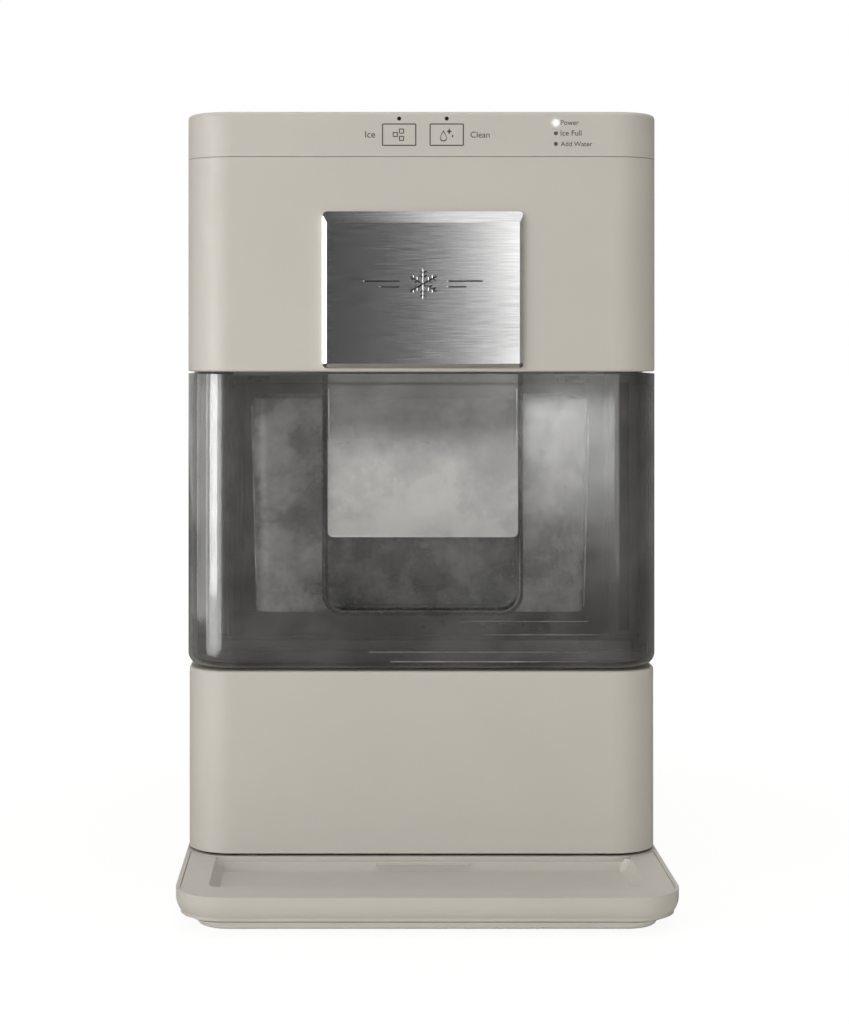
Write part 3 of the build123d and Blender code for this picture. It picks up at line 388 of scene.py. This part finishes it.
def soft_foam(name, colour, cell=1.2, depth=0.25):
    """Foam or felt: open cells of cell mm."""
    recipe = Recipe(name)
    cells = recipe.noise(cell * MM, detail=5.0, ragged=0.7)
    recipe.set(
        base_color=recipe.blend(recipe.spread(cells, 0, 1), shade(colour, 0.8), shade(colour, 1.08)),
        roughness=recipe.spread(cells, 0.8, 0.95),
    )
    recipe.bump(cells, depth * MM)
    return recipe.material


def smoked_clear(name):
    """Glossy smoke-grey clear plastic of the bin, darker where there is more of it to look through."""
    recipe = Recipe(name)
    haze = recipe.noise(0.045, detail=5.0, ragged=0.6)
    recipe.set(
        base_color=recipe.blend(recipe.spread(haze, 0, 1), (0.20, 0.198, 0.196), (0.30, 0.298, 0.295)),
        roughness=recipe.spread(recipe.noise(0.02), 0.06, 0.10),
        ior=2.1,
    )
    recipe.bump(recipe.noise(0.03, detail=1.0), 0.05 * MM, 0.25)
    rim = recipe.spread(recipe.facing(), 0.0, 0.62, 0.30, 0.75)
    recipe.see_through(recipe.maths("ADD", recipe.spread(haze, 0.20, 0.29), rim), (0.98, 0.98, 0.98))
    recipe.absorb((0.45, 0.45, 0.45), 130)
    return recipe.material


LEG_TALL = 16 * MM      # the ice basket's legs, which stay clear of frost


def misted_clear(name):
    """Clear plastic under patchy frost, as on the basket's walls."""
    recipe = Recipe(name)
    cloud = recipe.noise(0.032, detail=7.0, ragged=0.62)
    crystal = recipe.noise(0.0025, detail=4.0, ragged=0.7)
    recipe.set(
        base_color=recipe.blend(recipe.spread(crystal, 0, 1), (0.80, 0.80, 0.80), (0.95, 0.95, 0.95)),
        roughness=recipe.spread(crystal, 0.35, 0.6),
        ior=1.5,
    )
    recipe.bump(crystal, 0.15 * MM, 0.5)
    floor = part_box("ice_basket")[0].z + LEG_TALL
    above_legs = recipe.spread(recipe.axis("Z"), 0.12, 1.0, floor - 2 * MM, floor + 1 * MM)
    frost = recipe.spread(cloud, 0.14, 0.72, 0.38, 0.66)
    recipe.see_through(recipe.maths("MULTIPLY", frost, above_legs), (0.98, 0.98, 0.98))
    return recipe.material


def grip_clear(name):
    """The grip panel: clear plastic misted over, most of all below its middle."""
    low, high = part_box("bin_grip_panel")
    height = high.z - low.z
    recipe = Recipe(name)
    cloud = recipe.noise(0.05, detail=7.0, ragged=0.6)
    z = recipe.axis("Z")
    rising = recipe.spread(z, 0.62, 1.0, low.z, low.z + 0.38 * height)
    fading = recipe.spread(z, 1.0, 0.34, low.z + 0.45 * height, low.z + 0.75 * height)
    mist = recipe.maths("MULTIPLY", rising, fading)
    patchy = recipe.maths("MULTIPLY", recipe.spread(cloud, 0.60, 1.0), mist)
    recipe.set(
        base_color=recipe.blend(recipe.spread(cloud, 0, 1), (0.56, 0.56, 0.56), (0.72, 0.72, 0.72)),
        roughness=recipe.spread(cloud, 0.18, 0.32),
        ior=1.6,
    )
    recipe.bump(recipe.noise(0.002, detail=3.0), 0.03 * MM, 0.4)
    recipe.see_through(recipe.spread(patchy, 0.08, 0.60, 0.0, 1.0), (0.97, 0.97, 0.97))
    return recipe.material


def plate_steel(name):
    """Stainless sheet, brushed from side to side."""
    recipe = Recipe(name)
    brush = recipe.noise(0.25 * MM, stretch=(60, 1, 1), detail=2.0, ragged=0.6)
    long_brush = recipe.noise(0.5 * MM, stretch=(40, 1, 1), detail=3.0)
    recipe.set(
        base_color=recipe.blend(recipe.spread(long_brush, 0, 1), (0.60, 0.60, 0.60), (0.72, 0.72, 0.715)),
        roughness=recipe.spread(brush, 0.13, 0.18),
        metallic=1.0,
    )
    recipe.bump(brush, 0.0006 * MM, 0.3)
    return recipe.material


def circuit_board(name):
    """Green solder mask over copper tracks."""
    recipe = Recipe(name)
    tracks = recipe.noise(0.004, stretch=(1, 3, 1), detail=1.0)
    pads = recipe.noise(0.0015, detail=1.0)
    covered = recipe.spread(tracks, 0, 1, 0.48, 0.52)
    recipe.set(
        base_color=recipe.blend(covered, (0.010, 0.085, 0.035), (0.02, 0.14, 0.06)),
        roughness=recipe.spread(pads, 0.25, 0.45),
    )
    recipe.bump(tracks, 0.04 * MM)
    return recipe.material


def see_through_plastic(name, colour, amount, rough):
    """Milky clear plastic, as on tanks and hoses."""
    recipe = Recipe(name)
    flow = recipe.noise(0.02, detail=3.0)
    recipe.set(
        base_color=recipe.blend(recipe.spread(flow, 0, 1), shade(colour, 0.95), colour),
        roughness=recipe.spread(recipe.noise(0.004), rough - 0.05, rough + 0.08),
    )
    recipe.bump(flow, 0.1 * MM, 0.3)
    recipe.see_through(recipe.spread(flow, amount - 0.06, amount + 0.06), (0.97, 0.98, 0.98))
    return recipe.material


def edge_painted_highlight():
    """Light grey clear plastic for the edge beads: its bright colour is a painted highlight."""
    recipe = Recipe("edge_painted_highlight")
    flow = recipe.noise(0.020, detail=3.0)
    recipe.set(
        # the near-white base colour paints the highlight
        base_color=recipe.blend(recipe.spread(flow, 0, 1), (0.80, 0.80, 0.80), (0.95, 0.95, 0.95)),
        roughness=recipe.spread(recipe.noise(0.004), 0.10, 0.22),
        ior=1.7,
    )
    recipe.bump(flow, 0.05 * MM, 0.3)
    recipe.see_through(recipe.spread(flow, 0.35, 0.95, 0.35, 0.65))
    return recipe.material


def edge_dark():
    """Smoked plastic seen edge-on, where the hand pocket's wall runs away from the front."""
    recipe = Recipe("edge_dark")
    flow = recipe.noise(0.010, detail=3.0)
    recipe.set(
        base_color=recipe.blend(recipe.spread(flow, 0, 1), (0.020, 0.020, 0.020), (0.045, 0.045, 0.045)),
        roughness=recipe.spread(recipe.noise(0.004), 0.18, 0.30),
        ior=1.5,
    )
    recipe.bump(flow, 0.05 * MM, 0.3)
    recipe.see_through(recipe.spread(flow, 0.70, 0.95))
    return recipe.material


def ink_grey():
    """Ink of the printed keys and words."""
    recipe = Recipe("ink_grey")
    grain = recipe.noise(0.3 * MM, detail=2.0)
    recipe.set(
        base_color=recipe.blend(recipe.spread(grain, 0, 1), (0.036, 0.035, 0.034), (0.055, 0.053, 0.051)),
        roughness=recipe.spread(grain, 0.4, 0.55),
    )
    recipe.bump(grain, 0.005 * MM, 0.4)
    return recipe.material


def emblem_steel():
    """Darkened steel of the raised emblem."""
    recipe = Recipe("emblem_steel")
    grain = recipe.noise(0.3 * MM, detail=3.0)
    recipe.set(
        base_color=recipe.blend(recipe.spread(grain, 0, 1), (0.10, 0.10, 0.10), (0.16, 0.16, 0.16)),
        roughness=recipe.spread(grain, 0.22, 0.34),
        metallic=1.0,
    )
    recipe.bump(grain, 0.004 * MM, 0.4)
    return recipe.material


# The numbers after a colour come in the order of the function's own arguments.
MAKERS = {
    "shell_beige": lambda n: moulded(n, (0.575, 0.552, 0.508), 0.55, 0.45, 0.012, 0.012, 0.16),
    # plinth_beige: the shell's beige made lighter to make up for the shade that falls under the rim, which
    # is painted light
    "plinth_beige": lambda n: moulded(n, (0.760, 0.735, 0.690), 0.55, 0.45, 0.012, 0.015, 0.16),
    "smoked_clear": smoked_clear,
    "clear_plastic": grip_clear,
    "misted_clear": misted_clear,
    "plate_steel": plate_steel,
    "lens": lambda n: moulded(n, (0.012, 0.012, 0.013), 0.15, 0.8, 0.005, 0.1),
    "rubber_black": lambda n: moulded(n, (0.018, 0.018, 0.019), 0.78, 0.6, 0.05, 0.15),
    "seal_grey": lambda n: moulded(n, (0.16, 0.16, 0.165), 0.7, 0.6, 0.03, 0.08),
    "rear_grey": lambda n: moulded(n, (0.42, 0.40, 0.365), 0.5, 0.6, 0.02, 0.02),
    "screw_steel": lambda n: bare_metal(n, (0.62, 0.62, 0.61), 0.28),
    "liner_white": lambda n: moulded(n, (0.50, 0.505, 0.51), 0.35, 0.8, 0.01, 0.02),
    "foam": lambda n: soft_foam(n, (0.80, 0.70, 0.42)),
    "jacket_foam": lambda n: soft_foam(n, (0.05, 0.05, 0.055), 0.8, 0.15),
    "tank_plastic": lambda n: see_through_plastic(n, (0.80, 0.83, 0.84), 0.62, 0.30),
    "white_plastic": lambda n: moulded(n, (0.78, 0.78, 0.76), 0.38, 0.6, 0.01, 0.02),
    "float_foam": lambda n: soft_foam(n, (0.82, 0.82, 0.80), 0.5, 0.05),
    "black_plastic": lambda n: moulded(n, (0.022, 0.022, 0.023), 0.45, 0.5, 0.02, 0.1),
    "impeller_plastic": lambda n: moulded(n, (0.10, 0.22, 0.42), 0.35, 0.6, 0.01, 0.04),
    "hose_clear": lambda n: see_through_plastic(n, (0.75, 0.78, 0.78), 0.45, 0.18),
    "motor_steel": lambda n: bare_metal(n, (0.50, 0.50, 0.49), 0.36, (1, 1, 12)),
    "bracket_steel": lambda n: bare_metal(n, (0.58, 0.59, 0.60), 0.34, (1, 1, 1), 6.0, 0.02),
    "gear_steel": lambda n: bare_metal(n, (0.42, 0.41, 0.40), 0.30),
    "stainless": lambda n: bare_metal(n, (0.60, 0.60, 0.59), 0.24, (10, 10, 1)),
    "bush_bronze": lambda n: bare_metal(n, (0.55, 0.36, 0.16), 0.35),
    "copper": lambda n: bare_metal(n, (0.78, 0.36, 0.19), 0.28, (1, 1, 1), 3.0),
    "compressor_black": lambda n: moulded(n, (0.015, 0.015, 0.016), 0.32, 1.2, 0.04, 0.2),
    "fin_aluminium": lambda n: bare_metal(n, (0.72, 0.73, 0.74), 0.36),
    "board_green": circuit_board,
}


def finish_cad_nodes():
    """Gives every CAD node its slot's material."""
    made = {}
    for part in frame["record"]["subparts"]:
        slot, node = part["material_slot"], NODES[part["node"]]
        if slot not in made:
            made[slot] = MAKERS[slot](slot)
        node.data.materials.clear()
        node.data.materials.append(made[slot])


# ---------------------------------------------------------------- printed controls

PRINT_PROUD = 0.04 * MM     # how far the ink stands off the panel
LINE = 0.66 * MM            # of the keys' outlines
THIN_LINE = 0.56 * MM       # of their icons
LETTER_DEPTH = 0.01         # in font units, as is the next
LETTER_BOLDER = 0.006
LETTER_FLATTEN = 0.2        # share of the letters' depth that is kept
KEY_SIZE = Vector((19.1, 12.5)) * MM
KEY_X = 13.2 * MM
KEY_Z = TOP_Z - 12.95 * MM
LAMP_X = 73.8 * MM
LAMP_ROWS = [TOP_Z - drop * MM for drop in (6.3, 12.2, 18.1)]


def add_piece(name, vertices, faces, material, body):
    """A new mesh piece in the shared frame, riding on a body."""
    mesh = bpy.data.meshes.new(name)
    mesh.from_pydata([tuple(v) for v in vertices], [], faces)
    mesh.update()
    mesh.materials.append(material)
    piece = bpy.data.objects.new(name, mesh)
    bpy.context.scene.collection.objects.link(piece)
    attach(piece, body)
    return piece


class Print:
    """Flat ink on the panel front: x and z outlines gathered into one mesh."""

    def __init__(self, y):
        self.y, self.vertices, self.faces = y, [], []

    def fill(self, outline):
        """A filled outline."""
        first = len(self.vertices)
        self.vertices += [(x, self.y, z) for x, z in outline]
        self.faces.append(tuple(range(first, first + len(outline))))

    def band(self, outer, inner):
        """The band between two closed outlines of as many points."""
        first, count = len(self.vertices), len(outer)
        self.vertices += [(x, self.y, z) for x, z in (*outer, *inner)]
        for i in range(count):
            after = (i + 1) % count
            self.faces.append((first + i, first + after, first + count + after, first + count + i))


def rounded(centre, size, radius, steps=6):
    """The outline of a rectangle with round corners, anticlockwise."""
    points = []
    for corner, (sx, sz) in enumerate(((1, 1), (-1, 1), (-1, -1), (1, -1))):
        cx = centre[0] + sx * (size[0] / 2 - radius)
        cz = centre[1] + sz * (size[1] / 2 - radius)
        for step in range(steps + 1):
            angle = math.radians(90) * (corner + step / steps)
            points.append((cx + radius * math.cos(angle), cz + radius * math.sin(angle)))
    return points


def frame_of(ink, centre, size, radius, line):
    """An outlined rectangle with round corners."""
    inner = (size[0] - 2 * line, size[1] - 2 * line)
    ink.band(rounded(centre, size, radius), rounded(centre, inner, max(radius - line, 0.1 * MM)))


def drop_outline(centre, width, height, steps=28):
    """A water drop: a round foot that draws up to a point."""
    points = []
    for step in range(steps):
        turn = 2 * math.pi * step / steps
        lean = math.sin(turn / 2) ** 1.6
        x = 0.5 * width * math.sin(turn) * lean
        z = 0.5 * height * math.cos(turn)
        points.append((centre[0] - x, centre[1] + z))
    return points


def star_outline(centre, width, height):
    """A four-pointed sparkle."""
    points = []
    for step in range(8):
        angle = math.radians(90 + 45 * step)
        reach = 1.0 if step % 2 == 0 else 0.44
        points.append((centre[0] + 0.5 * width * reach * math.cos(angle),
                       centre[1] + 0.5 * height * reach * math.sin(angle)))
    return points


def add_label(name, words, left, right, base, material):
    """Printed words between left and right, standing on base."""
    data = bpy.data.curves.new(name, "FONT")
    data.body = words
    data.extrude = LETTER_DEPTH
    data.offset = LETTER_BOLDER
    writer = bpy.data.objects.new(name + "_writer", data)
    bpy.context.scene.collection.objects.link(writer)
    bpy.context.view_layer.update()
    mesh = bpy.data.meshes.new_from_object(writer)
    bpy.data.objects.remove(writer)
    low = min(v.co.x for v in mesh.vertices)
    scale = (right - left) / (max(v.co.x for v in mesh.vertices) - low)
    y = FRONT_Y - PRINT_PROUD
    for vertex in mesh.vertices:
        x, up, out = vertex.co
        vertex.co = (left + (x - low) * scale, y - out * scale * LETTER_FLATTEN, base + up * scale)
    mesh.name = name
    mesh.materials.clear()
    mesh.materials.append(material)
    label = bpy.data.objects.new(name, mesh)
    bpy.context.scene.collection.objects.link(label)
    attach(label, "cabinet")


def add_ice_key(ink_material):
    """Outline of the ice key and its icon of three ice cubes."""
    ink = Print(FRONT_Y - PRINT_PROUD)
    centre = (-KEY_X, KEY_Z)
    frame_of(ink, centre, KEY_SIZE, 0.8 * MM, LINE)
    cube = (2.85 * MM, 2.85 * MM)
    for dx, dz in ((-2.15, 0.1), (1.3, 2.0), (1.3, -2.05)):
        frame_of(ink, (centre[0] + dx * MM, centre[1] + dz * MM), cube, 0.55 * MM, THIN_LINE)
    add_piece("ice_key_print", ink.vertices, ink.faces, ink_material, "cabinet")


def add_clean_key(ink_material):
    """Outline of the clean key and its icon of a drop with two sparkles."""
    ink = Print(FRONT_Y - PRINT_PROUD)
    centre = (KEY_X, KEY_Z)
    frame_of(ink, centre, KEY_SIZE, 0.8 * MM, LINE)
    drop = (centre[0] - 1.85 * MM, centre[1] - 0.55 * MM)
    wide, tall = 5.6 * MM, 6.5 * MM
    ink.band(drop_outline(drop, wide, tall),
             drop_outline((drop[0], drop[1] - 0.2 * MM), wide - 2 * THIN_LINE, tall - 3.2 * THIN_LINE))
    ink.fill(star_outline((centre[0] + 1.4 * MM, centre[1] + 1.8 * MM), 2.9 * MM, 4.0 * MM))
    ink.fill(star_outline((centre[0] + 3.2 * MM, centre[1] - 0.75 * MM), 1.6 * MM, 2.1 * MM))
    add_piece("clean_key_print", ink.vertices, ink.faces, ink_material, "cabinet")


def add_labels(ink_material):
    """Plain words beside the keys and the indicator lamps."""
    key_base = KEY_Z - 1.6 * MM
    add_label("ice_label", "Ice", -32.1 * MM, -26.5 * MM, key_base, ink_material)
    add_label("clean_label", "Clean", 26.4 * MM, 37.0 * MM, key_base, ink_material)
    rows = (("power", "Power", 10.2), ("ice_full", "Ice Full", 11.6), ("add_water", "Add Water", 17.6))
    for (name, words, width), z in zip(rows, LAMP_ROWS):
        left = LAMP_X + 2.6 * MM
        add_label(name + "_label", words, left, left + width * MM, z - 1.25 * MM, ink_material)


def add_power_glow():
    """The lit power lamp: a domed cap, bright in the middle and fading into a halo."""
    core, halo, rings, steps = 0.8 * MM, 4.2 * MM, 8, 32
    y = FRONT_Y - 0.12 * MM
    vertices, faces = [(LAMP_X, y - 0.10 * MM, LAMP_ROWS[0])], []
    for ring in range(1, rings + 1):
        reach = halo * ring / rings
        rise = 0.10 * MM * (1 - (ring / rings) ** 2)
        for step in range(steps):
            angle = 2 * math.pi * step / steps
            x, z = LAMP_X + reach * math.cos(angle), LAMP_ROWS[0] + reach * math.sin(angle)
            vertices.append((x, y - rise, z))
    for step in range(steps):
        after = (step + 1) % steps
        faces.append((0, 1 + after, 1 + step))
        for ring in range(rings - 1):
            near, far = 1 + ring * steps, 1 + (ring + 1) * steps
            faces.append((near + step, near + after, far + after, far + step))
    recipe = Recipe("lamp_glow")
    offset = recipe.tree.nodes.new("ShaderNodeVectorMath")
    offset.operation = "DISTANCE"
    recipe.link(recipe.place, offset.inputs[0])
    offset.inputs[1].default_value = (LAMP_X, y, LAMP_ROWS[0])
    fade = recipe.spread(offset.outputs["Value"], 1.0, 0.0, core, halo)
    fade = recipe.maths("POWER", fade, 2.0)
    recipe.set(base_color=(1, 1, 1), emission_color=(1, 1, 1), emission_strength=0.22,
               alpha=fade, roughness=recipe.spread(recipe.noise(0.001), 0.3, 0.5))
    recipe.bump(recipe.noise(0.001), 0.005 * MM, 0.4)
    add_piece("power_glow", vertices, faces, recipe.material, "cabinet")


# ---------------------------------------------------------------- emblem on the plate

EMBLEM_REACH = 8.6 * MM
RIDGE_WIDE = 0.85 * MM
RIDGE_TALL = 0.28 * MM


def add_ridge(vertices, faces, start, end, y):
    """A raised line with two sloped sides, from start to end."""
    start, end = Vector(start), Vector(end)
    along = (end - start).normalized()
    side = Vector((-along.y, along.x)) * RIDGE_WIDE / 2
    tip = along * RIDGE_WIDE / 2
    first = len(vertices)
    for point in (start + side, start - side, end - side, end + side):
        vertices.append((point.x, y, point.y))
    for point in (start + tip, end - tip):
        vertices.append((point.x, y - RIDGE_TALL, point.y))
    faces += [tuple(first + i for i in face)
              for face in ((0, 3, 5, 4), (1, 4, 5, 2), (0, 4, 1), (3, 2, 5), (0, 1, 2, 3))]


def add_emblem(material):
    """A raised snowflake between two pairs of bars, a little above the middle of the plate."""
    low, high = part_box("badge_plate")
    y = low.y
    centre = Vector(((low.x + high.x) / 2, (low.z + high.z) / 2 + 3.2 * MM))
    vertices, faces = [], []
    for arm in range(6):
        angle = math.radians(90 + 60 * arm)
        out = Vector((math.cos(angle), math.sin(angle)))
        add_ridge(vertices, faces, centre, centre + out * EMBLEM_REACH, y)
        for reach, twig in ((0.42, 0.26), (0.70, 0.24)):
            fork = centre + out * EMBLEM_REACH * reach
            for turn in (-1, 1):
                lean = angle + turn * math.radians(60)
                tip = fork + Vector((math.cos(lean), math.sin(lean))) * EMBLEM_REACH * twig
                add_ridge(vertices, faces, fork, tip, y)
    for side in (-1, 1):
        for row, (near, far) in enumerate(((13.5, 33.0), (13.5, 24.0))):
            z = centre.y + (1.6 - 3.2 * row) * MM
            ends = sorted((centre.x + side * near * MM, centre.x + side * far * MM))
            add_ridge(vertices, faces, (ends[0], z), (ends[1], z), y)
    add_piece("plate_emblem", vertices, faces, material, "cabinet")


# ---------------------------------------------------------------- painted highlights along the edges of the clear parts, and the pocket's dark edge

def bead(name, points, reach, material, body):
    """A fine rounded bead along a path on the edge of a clear moulding, carrying a painted highlight or a
    dark edge; reach is across and deep.
    """
    around = 8
    across, deep = reach
    vertices, faces = [], []
    for i, point in enumerate(points):
        before, after = points[max(i - 1, 0)], points[min(i + 1, len(points) - 1)]
        along = (Vector(after) - Vector(before)).normalized()
        side = along.cross(Vector((0, 1, 0))).normalized()
        for step in range(around):
            angle = 2 * math.pi * step / around
            offset = side * across * math.cos(angle) + Vector((0, deep * math.sin(angle), 0))
            vertices.append(Vector(point) + offset)
    for ring in range(len(points) - 1):
        for step in range(around):
            near, far, after = ring * around, (ring + 1) * around, (step + 1) % around
            faces.append((near + step, near + after, far + after, far + step))
    last = (len(points) - 1) * around
    faces += [tuple(reversed(range(around))), tuple(range(last, last + around))]
    piece = add_piece(name, vertices, faces, material, body)
    piece.data.polygons.foreach_set("use_smooth", [True] * len(piece.data.polygons))


def u_path(half, low, high, radius, y, steps=6):
    """A path down one side, round the bottom corners and up the other side, about the middle."""
    points = [(-half, y, high)]
    for cx, first in ((radius - half, 180), (half - radius, 270)):
        for step in range(steps + 1):
            angle = math.radians(first + 90 * step / steps)
            points.append((cx + radius * math.cos(angle), y, low + radius + radius * math.sin(angle)))
    return points + [(half, y, high)]


POCKET_WALL_MID = 54.4 * MM     # middle of the hand pocket's wall, from the object's middle
POCKET_FLOOR_MID = 154.9 * MM   # middle of its floor, from the ground
POCKET_CORNER = 10.5 * MM
POCKET_WALL_BACK = 12 * MM      # from the front face to the middle of the wall's dark edge
POCKET_EDGE = (1.45 * MM, 9.5 * MM)
RIM_INSET, RIM_BACK = 0.6 * MM, 0.4 * MM    # of the grip panel's painted highlight line, from its outline and front
RIM_CORNER = 2.6 * MM
TOP_CLEAR = 8 * MM              # from the edges' upper ends to the top of the grip panel
BIN_WALL = 3.0 * MM
BASKET_TAPER = 3.0 * MM         # each side, from the basket's mouth down to its floor
# painted highlight lines along the bin's ledges, running only as far as the highlights show
LEDGE_HIGHLIGHTS = ((150.0, 20, 92), (142.6, 34, 104), (132.9, -30, 92), (127.6, -18, 92))   # z, left, right in mm
LEDGE_BACK = 0.8 * MM           # behind the bin's front wall
FINE, BOLDER = (0.30 * MM, 0.30 * MM), (0.40 * MM, 0.40 * MM)


def add_edges():
    """Beads that paint highlights along the edges of the clear mouldings, and the dark edge-on wall of the
    hand pocket.
    """
    # the light colour of the clear beads paints the highlights
    clear, dark = edge_painted_highlight(), edge_dark()
    low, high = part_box("bin_grip_panel")
    top = high.z - TOP_CLEAR
    rim = u_path(high.x - RIM_INSET, low.z + RIM_INSET, top, RIM_CORNER, low.y + RIM_BACK)
    # a painted highlight along the grip panel's edge
    bead("grip_panel_painted_highlight", rim, FINE, clear, "ice_bin")
    wall = u_path(POCKET_WALL_MID, POCKET_FLOOR_MID, top, POCKET_CORNER, FRONT_Y + POCKET_WALL_BACK)
    bead("pocket_edge", wall, POCKET_EDGE, dark, "ice_bin")
    low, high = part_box("ice_basket")
    y, foot = low.y + 2 * MM, low.z + LEG_TALL + 3 * MM
    # painted highlights down the basket's two side edges
    for name, side in (("left", -1), ("right", 1)):
        ends = [(side * (high.x - BASKET_TAPER), y, foot), (side * high.x, y, high.z - 4 * MM)]
        bead(f"basket_painted_highlight_{name}_edge", ends, BOLDER, clear, "ice_bin")
    # painted highlight lines along the bin's ledges
    y = FRONT_Y + BIN_WALL + LEDGE_BACK
    for row, (z, left, right) in enumerate(LEDGE_HIGHLIGHTS):
        ends = [(left * MM, y, z * MM), (right * MM, y, z * MM)]
        bead(f"bin_ledge_painted_highlight_{row}", ends, FINE, clear, "ice_bin")


# ---------------------------------------------------------------- assembly

def soften_edges(node, width, least_angle=32):
    """Rounds a CAD node's edges of more than least_angle degrees, so that they catch the light."""
    part = NODES[node]
    weld = part.modifiers.new("join", "WELD")
    weld.merge_threshold = 0.002 * MM
    bevel = part.modifiers.new("round", "BEVEL")
    bevel.width = width
    bevel.segments = 2
    bevel.limit_method = "ANGLE"
    bevel.angle_limit = math.radians(least_angle)


bpy.context.scene.view_settings.view_transform = "Standard"
add_camera()
add_lights()
add_world()
add_floor()
finish_cad_nodes()
INK = ink_grey()
add_ice_key(INK)
add_clean_key(INK)
add_labels(INK)
add_power_glow()
add_emblem(emblem_steel())
add_edges()
for part, width in (("bin_tub", 0.45), ("bin_grip_panel", 0.6), ("ice_basket", 0.4)):
    soften_edges(part, width * MM)
soften_edges("badge_plate", 1.0 * MM, least_angle=12)
